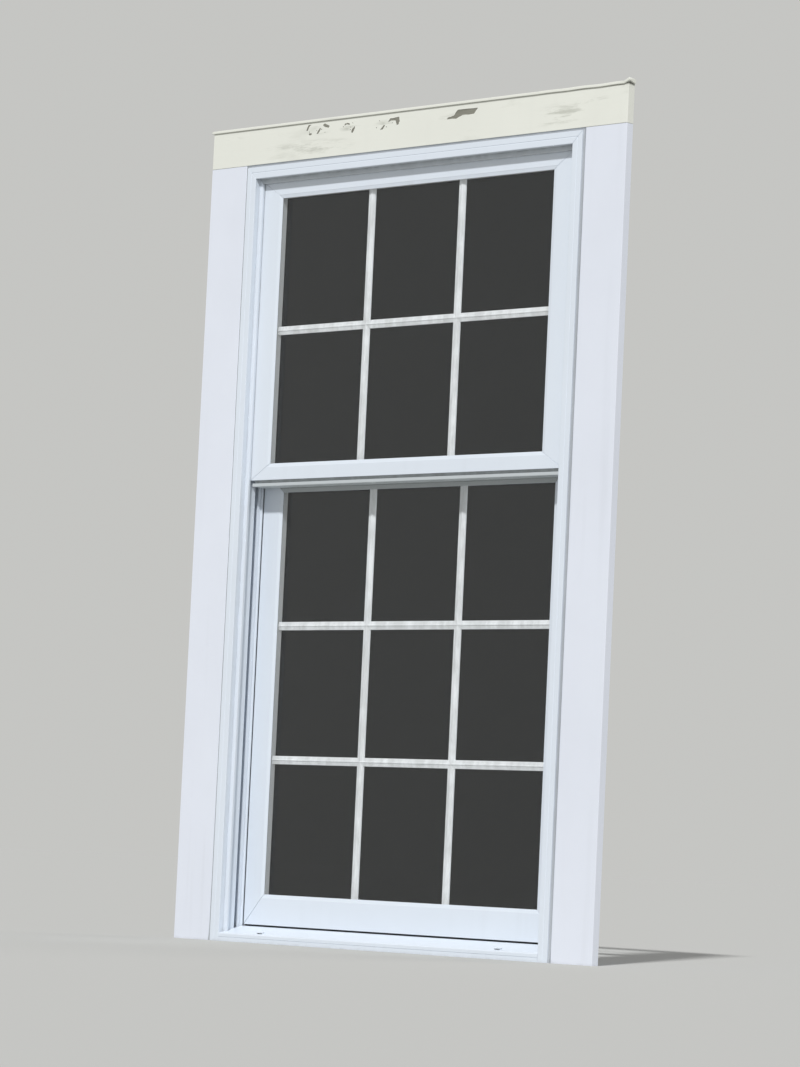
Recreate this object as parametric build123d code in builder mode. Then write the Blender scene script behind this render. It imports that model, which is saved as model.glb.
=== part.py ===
from build123d import *
import os

# Sash window: a white vinyl double-hung window, six panes over nine, with its casings.
# Millimetres. X runs to the right as seen from outside, +Y into the room, +Z up.
# The origin is the middle of the sill's underside.

os.makedirs("parts", exist_ok=True)

# Main frame, sizes across its section measured from the outer edge inwards
frame_width = 956.0
frame_height = 1697.0
frame_wall = 2.2
face_reach = 26.0
stop_reach = 36.0
web_reach = 29.0
leg_reach = 33.5

# Main frame, sizes through its depth
rebate_depth = 14.0
stop_thickness = 6.0
leg_thickness = 4.1
room_leg_thickness = 6.7
sash_play = 1.3
arris = 0.8

# Shadow groove on the frame's outside face
rim_width = 11.5
groove_width = 1.6
groove_depth = 1.0

# Sill
nose_height = 17.5
nose_radius = 2.5
sill_rim = 8.2
slope_run = 66.0
slope_wall = 2.4
track_height = 34.0
dam_height = 64.0
weep_x = 337.0
weep_run = 13.0
weep_length = 14.0
weep_width = 5.0
hood_wall = 1.2
hood_height = 3.0

# Sashes
sash_depth = 40.0
sash_wall = 2.2
edge_wall = 4.2
side_gap = 5.5
head_gap = 3.5
sill_gap = 4.0
meeting_height = 1041.0
stile_width = 56.0
upper_top_width = 38.0
upper_bottom_width = 36.0
lower_top_width = 59.5
lower_bottom_width = 66.5
bevel_width = 7.5
bevel_drop = 1.6
bevel_quirk = 0.4
glazing_leg = 3.0
glazing_pocket = 15.0
mid_wall_depth = 19.4

# Interlock hooks between the meeting rails
hook_wall = 1.5
upper_hook_rise = 7.0
upper_hook_reach = 5.1
upper_hook_height = 8.0
lower_hook_drop = 13.5
lower_hook_reach = 5.4
lower_hook_height = 11.5

# Finger rail on the room side of the lower sash
lift_rise = 45.0
lift_reach = 9.0
lift_wall = 2.4
lift_height = 10.0

# Lip strip under the upper sash
strip_height = 14.0
strip_groove = 5.0
strip_groove_depth = 6.5
strip_setback = 1.5
strip_wall = 1.8
strip_end_gap = 5.5

# Insulating glass
pane_thickness = 3.0
air_gap = 13.0
glass_bite = 12.0
glass_setback = 3.5
spacer_width = 7.0
spacer_inset = 2.0
block_length = 90.0
block_inset = 120.0

# Grille bars between the panes
bar_width = 18.0
bar_thickness = 8.0
bar_edge = 3.2
bar_shoulder = 6.0
bar_foot = 4.0
bar_bead = 2.0
bars_across = 2

# Glazing beads on the room side
bead_clearance = 0.3
bead_joint = 0.3
bead_setback = 0.5
bead_depth = 15.5
bead_round = 9.0

# Spring balances in the jambs
pocket_offset = 28.0
pocket_width = 20.0
slot_width = 11.0
tube_radius = 6.35
tube_wall = 0.9
tube_clearance = 1.0
tube_gap = 16.0
bushing_length = 14.0
rod_width = 6.4
rod_thickness = 1.6
rod_clearance = 0.4
rod_engagement = 40.0
rod_socket = 10.0
socket_fit = 0.1
shoe_clearance = 0.4
shoe_height = 44.0
shoe_foot = 18.0
shoe_corner = 2.0
upper_travel = 540.0
lower_travel = 600.0
anchor_radius = 1.8
anchor_head_radius = 3.6
anchor_head = 2.2
anchor_drop = 5.0
hanger_height = 10.0
hanger_gap = 4.0

# Pivot bars from the sashes into the shoes
pivot_width = 5.0
pivot_height = 12.0
pivot_fit = 0.3
pivot_inner = 15.0
pivot_outer = 18.5
pivot_rise = 16.0

# Tilt latches
latch_slot_length = 73.5
latch_slot_width = 12.0
latch_slot_depth = 9.0
latch_fit = 0.3
latch_height = 8.4
latch_reach = 13.5
latch_travel = 14.0
latch_nose_width = 8.0
latch_stop_gap = 0.5
thumb_length = 22.0
thumb_height = 1.8
thumb_inset = 3.0
thumb_ridges = 4
thumb_ridge = 1.6

# Cam locks, sizes from the top of the meeting rail and from the pivot
lock_x = 200.0
lock_pivot = 16.0
plate_length = 88.0
plate_width = 27.0
plate_thickness = 2.4
plate_corner = 6.0
dome_length = 66.0
dome_height = 12.0
dome_corner = 10.0
dome_edge = 2.0
dome_roof = 3.6
cam_gap = 0.6
cam_thickness = 4.0
cam_reach = 27.0
cam_tip = 4.0
cam_hub = 7.0
cam_shaft = 4.0
shaft_fit = 0.25
lever_reach = 30.0
lever_tip = 4.0
lever_thickness = 5.0
lever_edge = 1.2

# Keepers on the upper sash
keeper_length = 46.0
keeper_foot = 11.0
keeper_depth = 12.0
keeper_wall = 2.4
keeper_setback = 0.8

# Screws of locks and keepers
screw_radius = 1.9
screw_head_radius = 3.6
screw_head = 2.0
screw_length = 9.0
screw_fit = 0.1
shank_sides = 8  # hidden shanks and their holes are eight-sided
lock_screw_x = 38.5

# Weatherstrips
kerf_depth = 1.6
kerf_width = 3.8
kerf_fit = 0.1
pile_base = 1.4
pile_width = 2.4
pile_gap = 0.4
pile_outside = 9.0
pile_room = 37.1
pile_end_gap = 3.0
seal_offset = 12.0
seal_radius = 1.8
seal_wall = 0.6

# Casings, cap and sealant
sealant_width = 6.0
sealant_depth = 9.0
sealant_edge = 0.4
sealant_hollow = 1.5
frame_proud = 3.5
casing_width = 108.0
casing_thickness = 19.0
casing_joint = 0.6
casing_edge = 1.0
head_casing_height = 82.0
cap_height = 9.0
cap_reach = 4.5
cap_end = 3.0
cap_drip = 2.0
cap_drip_width = 3.0
cap_fall = 2.0

# Installation screw holes in the jambs
install_radius = 2.6
lower_install = (140.0, 400.0)
upper_install = (1420.0, 1620.0)

# Length of a cutting cylinder that passes through one wall, centred on it
through = 18.0

# Places that follow from the sizes
stop_back = rebate_depth + stop_thickness
outer_track = stop_back + sash_play
parting_leg = outer_track + sash_depth + sash_play
inner_track = parting_leg + leg_thickness + sash_play
room_leg = inner_track + sash_depth + sash_play
frame_depth = room_leg + room_leg_thickness
half_frame = frame_width / 2
front_y = -frame_depth / 2
web_x = half_frame - web_reach
half_sash = web_x - side_gap
daylight_x = half_sash - stile_width
glass_x = daylight_x + glass_bite
unit_depth = 2 * pane_thickness + air_gap
casing_y = front_y + frame_proud
casing_x = half_frame + sealant_width
head_casing_z = frame_height + sealant_width
pocket_outer = half_frame - frame_wall
pocket_inner = web_x + frame_wall
tube_x = pocket_outer - tube_clearance - tube_radius
cam_low = plate_thickness + cam_gap
cavity_high = dome_height - dome_roof
keeper_screw_x = (keeper_length + keeper_foot) / 2


class Sash:
    """The places and widths that the pieces of one sash share."""

    def __init__(self, name, face_depth, bottom, top, bottom_width, top_width, levels):
        self.name = name
        self.face_y = front_y + face_depth
        self.room_y = self.face_y + sash_depth
        self.pocket_y = self.face_y + pocket_offset
        self.bottom = bottom
        self.top = top
        self.bottom_width = bottom_width
        self.top_width = top_width
        self.levels = levels
        self.light_low = bottom + bottom_width
        self.light_high = top - top_width
        self.glass_y = self.face_y + glass_setback
        self.pivot_z = bottom + pivot_rise
        self.shoe_low = self.pivot_z - shoe_foot
        self.shoe_high = self.shoe_low + shoe_height


upper = Sash(
    "upper",
    outer_track,
    meeting_height - upper_bottom_width,
    frame_height - web_reach - head_gap,
    upper_bottom_width,
    upper_top_width,
    1,
)
lower = Sash(
    "lower",
    inner_track,
    track_height + sill_gap,
    meeting_height,
    lower_bottom_width,
    lower_top_width,
    2,
)
upper.rod_length = tube_gap + upper_travel + rod_engagement
lower.rod_length = tube_gap + lower_travel + rod_engagement
upper.tube_low = upper.shoe_high + tube_gap
lower.tube_low = lower.shoe_high + lower_travel + tube_gap
upper.tube_high = upper.shoe_high + upper.rod_length + hanger_gap + hanger_height
lower.tube_high = lower.shoe_high + lower_travel + lower.rod_length + hanger_gap + hanger_height

sides = ((-1, "left"), (1, "right"))


def finish(piece, label):
    """Names a finished piece and writes it."""
    piece.part.label = label
    export_step(piece.part, "parts/" + label + ".step")


def block(low, high, mode=Mode.ADD):
    """A block between two corners, added to the part being built or cut out of it."""
    with Locations(tuple((a + b) / 2 for a, b in zip(low, high))):
        Box(*(abs(b - a) for a, b in zip(low, high)), mode=mode)


def area(x_low, x_high, y_low, y_high, mode=Mode.ADD):
    """A rectangle between four limits, added to the section being drawn or cut out of it."""
    with Locations(((x_low + x_high) / 2, (y_low + y_high) / 2)):
        Rectangle(x_high - x_low, y_high - y_low, mode=mode)


def across(half_length, x=0.0):
    """Plane for a section that runs along X: its own axes are the window's Y and Z."""
    return Plane(origin=(x - half_length, 0, 0), x_dir=(0, 1, 0), z_dir=(1, 0, 0))


class Ring:
    """A rectangle of four mitred members, seen from outside, with its depth along Y."""

    def __init__(self, half_width, bottom, top, side_width, bottom_width, top_width):
        self.half_width = half_width
        self.bottom = bottom
        self.top = top
        self.inner_x = half_width - side_width
        self.inner_low = bottom + bottom_width
        self.inner_high = top - top_width

    def plane(self, place, y):
        """Section plane at a member's start: local X points inwards and local Y into the room."""
        planes = {
            "left": ((-self.half_width, y, self.bottom), (1, 0, 0), (0, 0, 1)),
            "right": ((self.half_width, y, self.top), (-1, 0, 0), (0, 0, -1)),
            "bottom": ((self.half_width, y, self.bottom), (0, 0, 1), (-1, 0, 0)),
            "top": ((-self.half_width, y, self.top), (0, 0, -1), (1, 0, 0)),
        }
        origin, x_dir, z_dir = planes[place]
        return Plane(origin=origin, x_dir=x_dir, z_dir=z_dir)

    def length(self, place):
        """Length of a member from outer corner to outer corner."""
        return self.top - self.bottom if place in ("left", "right") else 2 * self.half_width

    def corners(self, place):
        """The two weld planes of a member, each facing the member."""
        kept = {
            "left": Vector(-self.half_width, 0, (self.bottom + self.top) / 2),
            "right": Vector(self.half_width, 0, (self.bottom + self.top) / 2),
            "bottom": Vector(0, 0, self.bottom),
            "top": Vector(0, 0, self.top),
        }[place]
        ends = {
            "left": ((-1, 0), (-1, 1)),
            "right": ((1, 0), (1, 1)),
            "bottom": ((-1, 0), (1, 0)),
            "top": ((-1, 1), (1, 1)),
        }[place]
        planes = []
        for side, high in ends:
            outer = Vector(side * self.half_width, 0, self.top if high else self.bottom)
            inner = Vector(side * self.inner_x, 0, self.inner_high if high else self.inner_low)
            normal = (inner - outer).cross(Vector(0, 1, 0)).normalized()
            if normal.dot(kept - outer) < 0:
                normal = normal * -1
            planes.append(Plane(origin=outer, z_dir=normal))
        return planes


frame_ring = Ring(half_frame, 0, frame_height, face_reach, face_reach, face_reach)


def frame_outline():
    """Outline of jambs and head: local X from the outer edge inwards, local Y into the room."""
    parting_back = parting_leg + leg_thickness
    with BuildLine() as outline:
        Polyline(
            (0, 0),
            (rim_width, 0),
            (rim_width + groove_width / 2, groove_depth),
            (rim_width + groove_width, 0),
            (face_reach - arris, 0),
            (face_reach, arris),
            (face_reach, rebate_depth),
            (stop_reach - arris, rebate_depth),
            (stop_reach, rebate_depth + arris),
            (stop_reach, stop_back),
            (web_reach, stop_back),
            (web_reach, parting_leg),
            (leg_reach - arris, parting_leg),
            (leg_reach, parting_leg + arris),
            (leg_reach, parting_back - arris),
            (leg_reach - arris, parting_back),
            (web_reach, parting_back),
            (web_reach, room_leg),
            (leg_reach, room_leg),
            (leg_reach, frame_depth - arris),
            (leg_reach - arris, frame_depth),
            (0, frame_depth),
            close=True,
        )
    make_face(outline.edges())


def frame_chambers(slots):
    """Cuts the hollow chambers out of the frame's section, and a jamb's two balance slots."""
    inner = web_reach - frame_wall
    room_inner = leg_reach - frame_wall
    area(frame_wall, face_reach - frame_wall, frame_wall, stop_back - frame_wall, Mode.SUBTRACT)
    area(frame_wall, room_inner, room_leg + frame_wall, frame_depth - frame_wall, Mode.SUBTRACT)
    edge = stop_back
    for track in (outer_track, inner_track):
        centre = track + pocket_offset
        pocket_low = centre - pocket_width / 2
        pocket_high = centre + pocket_width / 2
        area(frame_wall, inner, edge, pocket_low - frame_wall, Mode.SUBTRACT)
        area(frame_wall, inner, pocket_low, pocket_high, Mode.SUBTRACT)
        if slots:
            area(inner, web_reach, centre - slot_width / 2, centre + slot_width / 2, Mode.SUBTRACT)
        edge = pocket_high + frame_wall


def anchor_hole(x, y, z):
    """Cuts the hole of a balance tube's screw along X, centred on the given point."""
    with BuildSketch(Plane(origin=(x - through / 2, y, z), z_dir=(1, 0, 0))) as bore:
        RegularPolygon(anchor_radius + screw_fit, shank_sides)
    extrude(bore.sketch, amount=through, mode=Mode.SUBTRACT)


# Jambs: mitred to the head, standing on the sill line, with holes for the installation screws
for side, side_name in sides:
    with BuildPart() as frame_jamb:
        with BuildSketch(frame_ring.plane(side_name, front_y)):
            frame_outline()
            frame_chambers(slots=True)
        extrude(amount=frame_height)
        split(bisect_by=frame_ring.corners(side_name)[1], keep=Keep.TOP)
        wall_x = side * (half_frame - frame_wall / 2)
        for sash, heights in ((upper, lower_install), (lower, upper_install)):
            with Locations(*[(wall_x, sash.pocket_y, z) for z in heights]):
                Cylinder(install_radius, through, rotation=(0, 90, 0), mode=Mode.SUBTRACT)
            anchor_hole(wall_x, sash.pocket_y, sash.tube_high - anchor_drop)
    finish(frame_jamb, "frame_jamb_" + side_name)

# Head: the same section without the balance slots
with BuildPart() as frame_head:
    with BuildSketch(frame_ring.plane("top", front_y)):
        frame_outline()
        frame_chambers(slots=False)
    extrude(amount=frame_width)
    for weld in frame_ring.corners("top"):
        split(bisect_by=weld, keep=Keep.TOP)
finish(frame_head, "frame_head")


def slope_z(run):
    """Height of the sill's weathered slope at a distance in from the nose."""
    return nose_height + (track_height - nose_height) * run / slope_run


# Sill: a sloped hollow section, coped round the jambs' stops and legs
with BuildPart() as frame_sill:
    with BuildSketch(across(half_frame - face_reach)) as sill_sketch:
        with BuildLine():
            Polyline(
                (front_y, 0),
                (front_y, sill_rim),
                (front_y + groove_depth, sill_rim + groove_width / 2),
                (front_y, sill_rim + groove_width),
                (front_y, nose_height),
                (front_y + slope_run, track_height),
                (front_y + room_leg, track_height),
                (front_y + room_leg, dam_height),
                (front_y + frame_depth - arris, dam_height),
                (front_y + frame_depth, dam_height - arris),
                (front_y + frame_depth, 0),
                close=True,
            )
        make_face()
        nose = sill_sketch.vertices().sort_by_distance((front_y, nose_height, 0))[0]
        fillet(nose, nose_radius)
        chamber_ends = (
            (frame_wall, slope_run / 2 - frame_wall / 2),
            (slope_run / 2 + frame_wall / 2, slope_run - frame_wall / 2),
        )
        for start, end in chamber_ends:
            with BuildLine():
                Polyline(
                    (front_y + start, frame_wall),
                    (front_y + start, slope_z(start) - slope_wall),
                    (front_y + end, slope_z(end) - slope_wall),
                    (front_y + end, frame_wall),
                    close=True,
                )
            make_face(mode=Mode.SUBTRACT)
        track_start = front_y + slope_run + frame_wall / 2
        track_end = front_y + room_leg - frame_wall / 2
        area(track_start, track_end, frame_wall, track_height - frame_wall, Mode.SUBTRACT)
        dam_start = track_end + frame_wall
        dam_end = front_y + frame_depth - frame_wall
        area(dam_start, dam_end, frame_wall, dam_height - frame_wall, Mode.SUBTRACT)
    extrude(amount=2 * (half_frame - face_reach))
    for side, side_name in sides:
        with BuildSketch(frame_ring.plane(side_name, front_y)):
            frame_outline()
        extrude(amount=frame_height, mode=Mode.SUBTRACT)
        weep_y = front_y + weep_run
        block(
            (side * weep_x - weep_length / 2, weep_y - weep_width / 2, frame_wall + slope_wall),
            (side * weep_x + weep_length / 2, weep_y + weep_width / 2, track_height),
            Mode.SUBTRACT,
        )
finish(frame_sill, "frame_sill")

# Weep covers: small hoods on the slope, open down the slope
with BuildPart() as sill_weep_covers:
    for side, side_name in sides:
        lie = Vector(0, slope_run, track_height - nose_height).normalized()
        slope_plane = Plane(
            origin=(side * weep_x, front_y + weep_run, slope_z(weep_run)),
            x_dir=(1, 0, 0),
            z_dir=(0, -lie.Z, lie.Y),
        )
        hood_length = weep_length + 2 * hood_wall
        hood_width = weep_width + 2 * hood_wall
        with BuildSketch(slope_plane):
            Rectangle(hood_length, hood_width)
        extrude(amount=hood_height)
        with BuildSketch(slope_plane):
            area(
                -weep_length / 2,
                weep_length / 2,
                -hood_width / 2,
                weep_width / 2,
            )
        extrude(amount=hood_height - hood_wall, mode=Mode.SUBTRACT)
finish(sill_weep_covers, "sill_weep_covers")


# Side casings: plain square boards
for side, side_name in sides:
    with BuildPart() as casing:
        with BuildSketch(Plane.XY):
            edges = sorted((side * casing_x, side * (casing_x + casing_width)))
            area(edges[0], edges[1], casing_y, casing_y + casing_thickness)
        extrude(amount=head_casing_z - casing_joint)
        front_edges = casing.edges().filter_by(Axis.Z).group_by(Axis.Y)[0]
        fillet(front_edges, casing_edge)
    finish(casing, "casing_" + side_name)

# Head casing: one board over both side casings
with BuildPart() as head_casing:
    with BuildSketch(across(casing_x + casing_width)):
        low = head_casing_z
        area(casing_y, casing_y + casing_thickness, low, low + head_casing_height)
    extrude(amount=2 * (casing_x + casing_width))
    front_edges = head_casing.edges().filter_by(Axis.X).group_by(Axis.Y)[0]
    fillet(front_edges, casing_edge)
finish(head_casing, "head_casing")

# Cap: a thin board on the head casing, falling to the front, with a drip along its front edge
with BuildPart() as head_cap:
    cap_z = head_casing_z + head_casing_height
    cap_front = casing_y - cap_reach
    with BuildSketch(across(casing_x + casing_width + cap_end)):
        with BuildLine():
            Polyline(
                (casing_y + casing_thickness, cap_z),
                (cap_front + cap_drip_width, cap_z),
                (cap_front + cap_drip_width, cap_z - cap_drip),
                (cap_front, cap_z - cap_drip),
                (cap_front, cap_z + cap_height - cap_fall),
                (casing_y + casing_thickness, cap_z + cap_height),
                close=True,
            )
        make_face()
    extrude(amount=2 * (casing_x + casing_width + cap_end))
    front_edges = head_cap.edges().filter_by(Axis.X).group_by(Axis.Y)[0]
    fillet(front_edges, casing_edge)
finish(head_cap, "head_cap")

# Sealant: one tooled bead up, over and down the gap between frame and casings
with BuildPart() as perimeter_sealant:
    bead_x = half_frame + sealant_width / 2
    bead_z = frame_height + sealant_width / 2
    with BuildLine() as bead_path:
        Polyline((-bead_x, 0, 0), (-bead_x, 0, bead_z), (bead_x, 0, bead_z), (bead_x, 0, 0))
    with BuildSketch(Plane(origin=(-bead_x, 0, 0), x_dir=(1, 0, 0), z_dir=(0, 0, 1))):
        with BuildLine():
            half_bead = sealant_width / 2
            bead_front = casing_y + sealant_edge
            ThreePointArc(
                (-half_bead, bead_front),
                (0, bead_front + sealant_hollow),
                (half_bead, bead_front),
            )
            Polyline(
                (half_bead, bead_front),
                (half_bead, casing_y + sealant_depth),
                (-half_bead, casing_y + sealant_depth),
                (-half_bead, bead_front),
            )
        make_face()
    sweep(path=bead_path.wires()[0], transition=Transition.RIGHT)
finish(perimeter_sealant, "perimeter_sealant")


def sash_section(width, kerfs=(), ledge=False):
    """Section of a stile or rail: local X from its outer edge to the daylight, Y into the room."""
    pocket = width - glazing_pocket
    with BuildLine() as outline:
        Polyline(
            (0, 0),
            (width - bevel_width, 0),
            (width - bevel_width, bevel_quirk),
            (width, bevel_drop + bevel_quirk),
            (width, glazing_leg),
            (pocket, glazing_leg),
            (pocket, sash_depth),
            (0, sash_depth),
            close=True,
        )
    make_face(outline.edges())
    for kerf in kerfs:
        area(0, kerf_depth, kerf - kerf_width / 2, kerf + kerf_width / 2, Mode.SUBTRACT)
    mid_low = mid_wall_depth - sash_wall / 2
    mid_high = mid_wall_depth + sash_wall / 2
    box_end = pocket - sash_wall
    area(edge_wall, box_end, sash_wall, mid_low, Mode.SUBTRACT)
    area(edge_wall, box_end, mid_high, sash_depth - sash_wall, Mode.SUBTRACT)
    if ledge:
        ledge_front = glass_setback + unit_depth + bead_clearance
        area(pocket, width, ledge_front, sash_depth)
        ledge_inner = ledge_front + sash_wall
        area(pocket, width - sash_wall, ledge_inner, sash_depth - sash_wall, Mode.SUBTRACT)


def upper_hook():
    """Hook on the room side of the upper sash's bottom rail."""
    reach = sash_depth + upper_hook_reach
    area(upper_hook_rise, upper_hook_rise + hook_wall, sash_depth, reach)
    area(upper_hook_rise, upper_hook_rise + upper_hook_height, reach - hook_wall, reach)


def lower_hook():
    """Hook on the outside of the lower sash's top rail."""
    area(lower_hook_drop, lower_hook_drop + hook_wall, -lower_hook_reach, 0)
    end = lower_hook_drop + lower_hook_height
    area(lower_hook_drop, end, -lower_hook_reach, hook_wall - lower_hook_reach)


def finger_rail():
    """Upturned lip on the room side of the lower sash's bottom rail."""
    reach = sash_depth + lift_reach
    area(lift_rise, lift_rise + lift_wall, sash_depth, reach)
    area(lift_rise, lift_rise + lift_height, reach - lift_wall, reach)


def latch_slot(sash, side):
    """Cuts the tilt latch's slot into the top edge of a sash."""
    outer = side * half_sash
    inner = side * (half_sash - latch_slot_length)
    low = (inner, sash.pocket_y - latch_slot_width / 2, sash.top - latch_slot_depth)
    high = (outer, sash.pocket_y + latch_slot_width / 2, sash.top)
    block(low, high, Mode.SUBTRACT)


def screw_holes(places, y, top):
    """Cuts screw holes down from a top face at the given places along X."""
    with BuildSketch(Plane(origin=(0, y, top + through / 2))) as bores:
        with Locations(*[(x, 0) for x in places]):
            RegularPolygon(screw_radius + screw_fit, shank_sides)
    extrude(bores.sketch, amount=-through, mode=Mode.SUBTRACT)


lock_screws_x = [side * lock_x + end * lock_screw_x for side in (-1, 1) for end in (-1, 1)]
keeper_screws_x = [side * lock_x + end * keeper_screw_x for side in (-1, 1) for end in (-1, 1)]
lock_y = lower.face_y + lock_pivot
keeper_room_y = upper.room_y - keeper_setback
keeper_screw_y = keeper_room_y - keeper_depth / 2

for sash in (upper, lower):
    sash_ring = Ring(
        half_sash, sash.bottom, sash.top, stile_width, sash.bottom_width, sash.top_width
    )

    # Stiles: hollow, with two pile kerfs, and a hole for the pivot bar
    for side, side_name in sides:
        with BuildPart() as stile:
            with BuildSketch(sash_ring.plane(side_name, sash.face_y)):
                sash_section(stile_width, kerfs=(pile_outside, pile_room))
            extrude(amount=sash_ring.length(side_name))
            for weld in sash_ring.corners(side_name):
                split(bisect_by=weld, keep=Keep.TOP)
            latch_slot(sash, side)
            hole_y = pivot_width / 2 + pivot_fit
            hole_z = pivot_height / 2 + pivot_fit
            block(
                (side * (half_sash - edge_wall), sash.pocket_y - hole_y, sash.pivot_z - hole_z),
                (side * half_sash, sash.pocket_y + hole_y, sash.pivot_z + hole_z),
                Mode.SUBTRACT,
            )
        finish(stile, sash.name + "_stile_" + side_name)

    # Top rail: the lower one carries an interlock hook and the locks
    with BuildPart() as top_rail:
        with BuildSketch(sash_ring.plane("top", sash.face_y)):
            sash_section(sash.top_width, kerfs=(pile_outside,) if sash is upper else ())
            if sash is lower:
                lower_hook()
        extrude(amount=sash_ring.length("top"))
        for weld in sash_ring.corners("top"):
            split(bisect_by=weld, keep=Keep.TOP)
        for side, side_name in sides:
            latch_slot(sash, side)
        if sash is lower:
            screw_holes(lock_screws_x, lock_y, sash.top)
    finish(top_rail, sash.name + "_top_rail")

    # Bottom rail: the upper one has the interlock hook and the keepers' ledge
    with BuildPart() as bottom_rail:
        with BuildSketch(sash_ring.plane("bottom", sash.face_y)):
            if sash is upper:
                sash_section(sash.bottom_width, ledge=True)
                upper_hook()
            else:
                sash_section(sash.bottom_width, kerfs=(seal_offset,))
                finger_rail()
        extrude(amount=sash_ring.length("bottom"))
        for weld in sash_ring.corners("bottom"):
            split(bisect_by=weld, keep=Keep.TOP)
        if sash is upper:
            screw_holes(keeper_screws_x, keeper_screw_y, sash.light_low)
    finish(bottom_rail, sash.name + "_bottom_rail")

    # Panes and the spacer that holds them apart
    glass_low = sash.light_low - glass_bite
    glass_high = sash.light_high + glass_bite
    for pane_name, depth in (("outer", 0), ("inner", pane_thickness + air_gap)):
        with BuildPart() as pane:
            block(
                (-glass_x, sash.glass_y + depth, glass_low),
                (glass_x, sash.glass_y + depth + pane_thickness, glass_high),
            )
        finish(pane, sash.name + "_" + pane_name + "_pane")
    gap_y = sash.glass_y + pane_thickness
    spacer_x = daylight_x + spacer_inset
    spacer_low = sash.light_low - spacer_inset
    spacer_high = sash.light_high + spacer_inset
    with BuildPart() as spacer:
        with BuildSketch(Plane(origin=(0, gap_y, 0), x_dir=(1, 0, 0), z_dir=(0, -1, 0))):
            outer_x = spacer_x + spacer_width
            area(-outer_x, outer_x, spacer_low - spacer_width, spacer_high + spacer_width)
            area(-spacer_x, spacer_x, spacer_low, spacer_high, Mode.SUBTRACT)
        extrude(amount=-air_gap)
    finish(spacer, sash.name + "_spacer")

    # Grille: contoured bars with a raised bead, dividing the daylight evenly
    with BuildPart() as grille:
        bar_y = gap_y + air_gap / 2
        light_height = sash.light_high - sash.light_low
        bar_planes = []
        for index in range(1, bars_across + 1):
            bar_x = -daylight_x + 2 * daylight_x * index / (bars_across + 1)
            upright = Plane(origin=(bar_x, bar_y, spacer_low), x_dir=(1, 0, 0), z_dir=(0, 0, 1))
            bar_planes.append((upright, spacer_high - spacer_low))
        for index in range(1, sash.levels + 1):
            bar_z = sash.light_low + light_height * index / (sash.levels + 1)
            level = Plane(origin=(-spacer_x, bar_y, bar_z), x_dir=(0, 0, -1), z_dir=(1, 0, 0))
            bar_planes.append((level, 2 * spacer_x))
        for bar_plane, bar_length in bar_planes:
            with BuildSketch(bar_plane):
                with BuildLine():
                    Polyline(
                        (-bar_width / 2, 0),
                        (-bar_width / 2, bar_edge / 2),
                        (-bar_foot / 2, bar_shoulder / 2),
                        (-bar_bead / 2, bar_thickness / 2),
                        (bar_bead / 2, bar_thickness / 2),
                        (bar_foot / 2, bar_shoulder / 2),
                        (bar_width / 2, bar_edge / 2),
                        (bar_width / 2, 0),
                    )
                    mirror(about=Plane.XZ)
                make_face()
            extrude(amount=bar_length)
    finish(grille, sash.name + "_grille")

    # Glazing beads on the room side; the keepers' ledge takes the place of the upper bottom one
    bead_inset = glazing_pocket - bead_clearance
    bead_width = bead_inset - bead_setback
    bead_ring = Ring(
        daylight_x + bead_inset,
        sash.light_low - bead_inset,
        sash.light_high + bead_inset,
        bead_width,
        bead_width,
        bead_width,
    )
    bead_y = sash.glass_y + unit_depth + bead_clearance
    bead_places = ("left", "top", "right") if sash is upper else ("left", "top", "right", "bottom")
    bead_parts = []
    for place in bead_places:
        with BuildPart() as bead:
            with BuildSketch(bead_ring.plane(place, bead_y)):
                with BuildLine():
                    ovolo = CenterArc(
                        (bead_width - bead_round, bead_depth - bead_round), bead_round, 0, 90
                    )
                    Polyline(ovolo @ 1, (0, bead_depth), (0, 0), (bead_width, 0), ovolo @ 0)
                make_face()
            extrude(amount=bead_ring.length(place))
            for weld in bead_ring.corners(place):
                shifted = Plane(origin=weld.origin + weld.z_dir * bead_joint / 2, z_dir=weld.z_dir)
                split(bisect_by=shifted, keep=Keep.TOP)
            if sash is upper and place in ("left", "right"):
                foot = sash.light_low + bead_clearance
                reach = half_sash
                low = foot - 2 * glazing_pocket
                block((-reach, bead_y, low), (reach, sash.room_y, foot), Mode.SUBTRACT)
        bead_parts.append(bead.part)
    with BuildPart() as glazing_beads:
        for bead_part in bead_parts:
            add(bead_part)
    finish(glazing_beads, sash.name + "_glazing_beads")

    # Setting blocks under the glass
    with BuildPart() as setting_blocks:
        for side, side_name in sides:
            centre = side * (glass_x - block_inset)
            block(
                (centre - block_length / 2, sash.glass_y, sash.light_low - glazing_pocket),
                (centre + block_length / 2, sash.glass_y + unit_depth, glass_low),
            )
    finish(setting_blocks, sash.name + "_setting_blocks")

    # Pile weatherstrips on the stiles, and on the upper sash's top rail
    with BuildPart() as weatherstrips:
        for side, side_name in sides:
            for offset in (pile_outside, pile_room):
                pile_y = sash.face_y + offset
                kerf_x = half_sash - kerf_depth
                low_z = sash.bottom + pile_end_gap
                high_z = sash.top - pile_end_gap
                half_base = kerf_width / 2 - kerf_fit
                block(
                    (side * kerf_x, pile_y - half_base, low_z),
                    (side * (kerf_x + pile_base), pile_y + half_base, high_z),
                )
                block(
                    (side * kerf_x, pile_y - pile_width / 2, low_z),
                    (side * (web_x - pile_gap), pile_y + pile_width / 2, high_z),
                )
        if sash is upper:
            pile_y = sash.face_y + pile_outside
            reach = half_sash - glazing_pocket
            kerf_z = sash.top - kerf_depth
            block((-reach, pile_y - half_base, kerf_z), (reach, pile_y + half_base, kerf_z + pile_base))
            head_z = frame_height - web_reach - pile_gap
            half_pile = pile_width / 2
            block((-reach, pile_y - half_pile, kerf_z), (reach, pile_y + half_pile, head_z))
    finish(weatherstrips, sash.name + "_weatherstrips")

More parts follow.
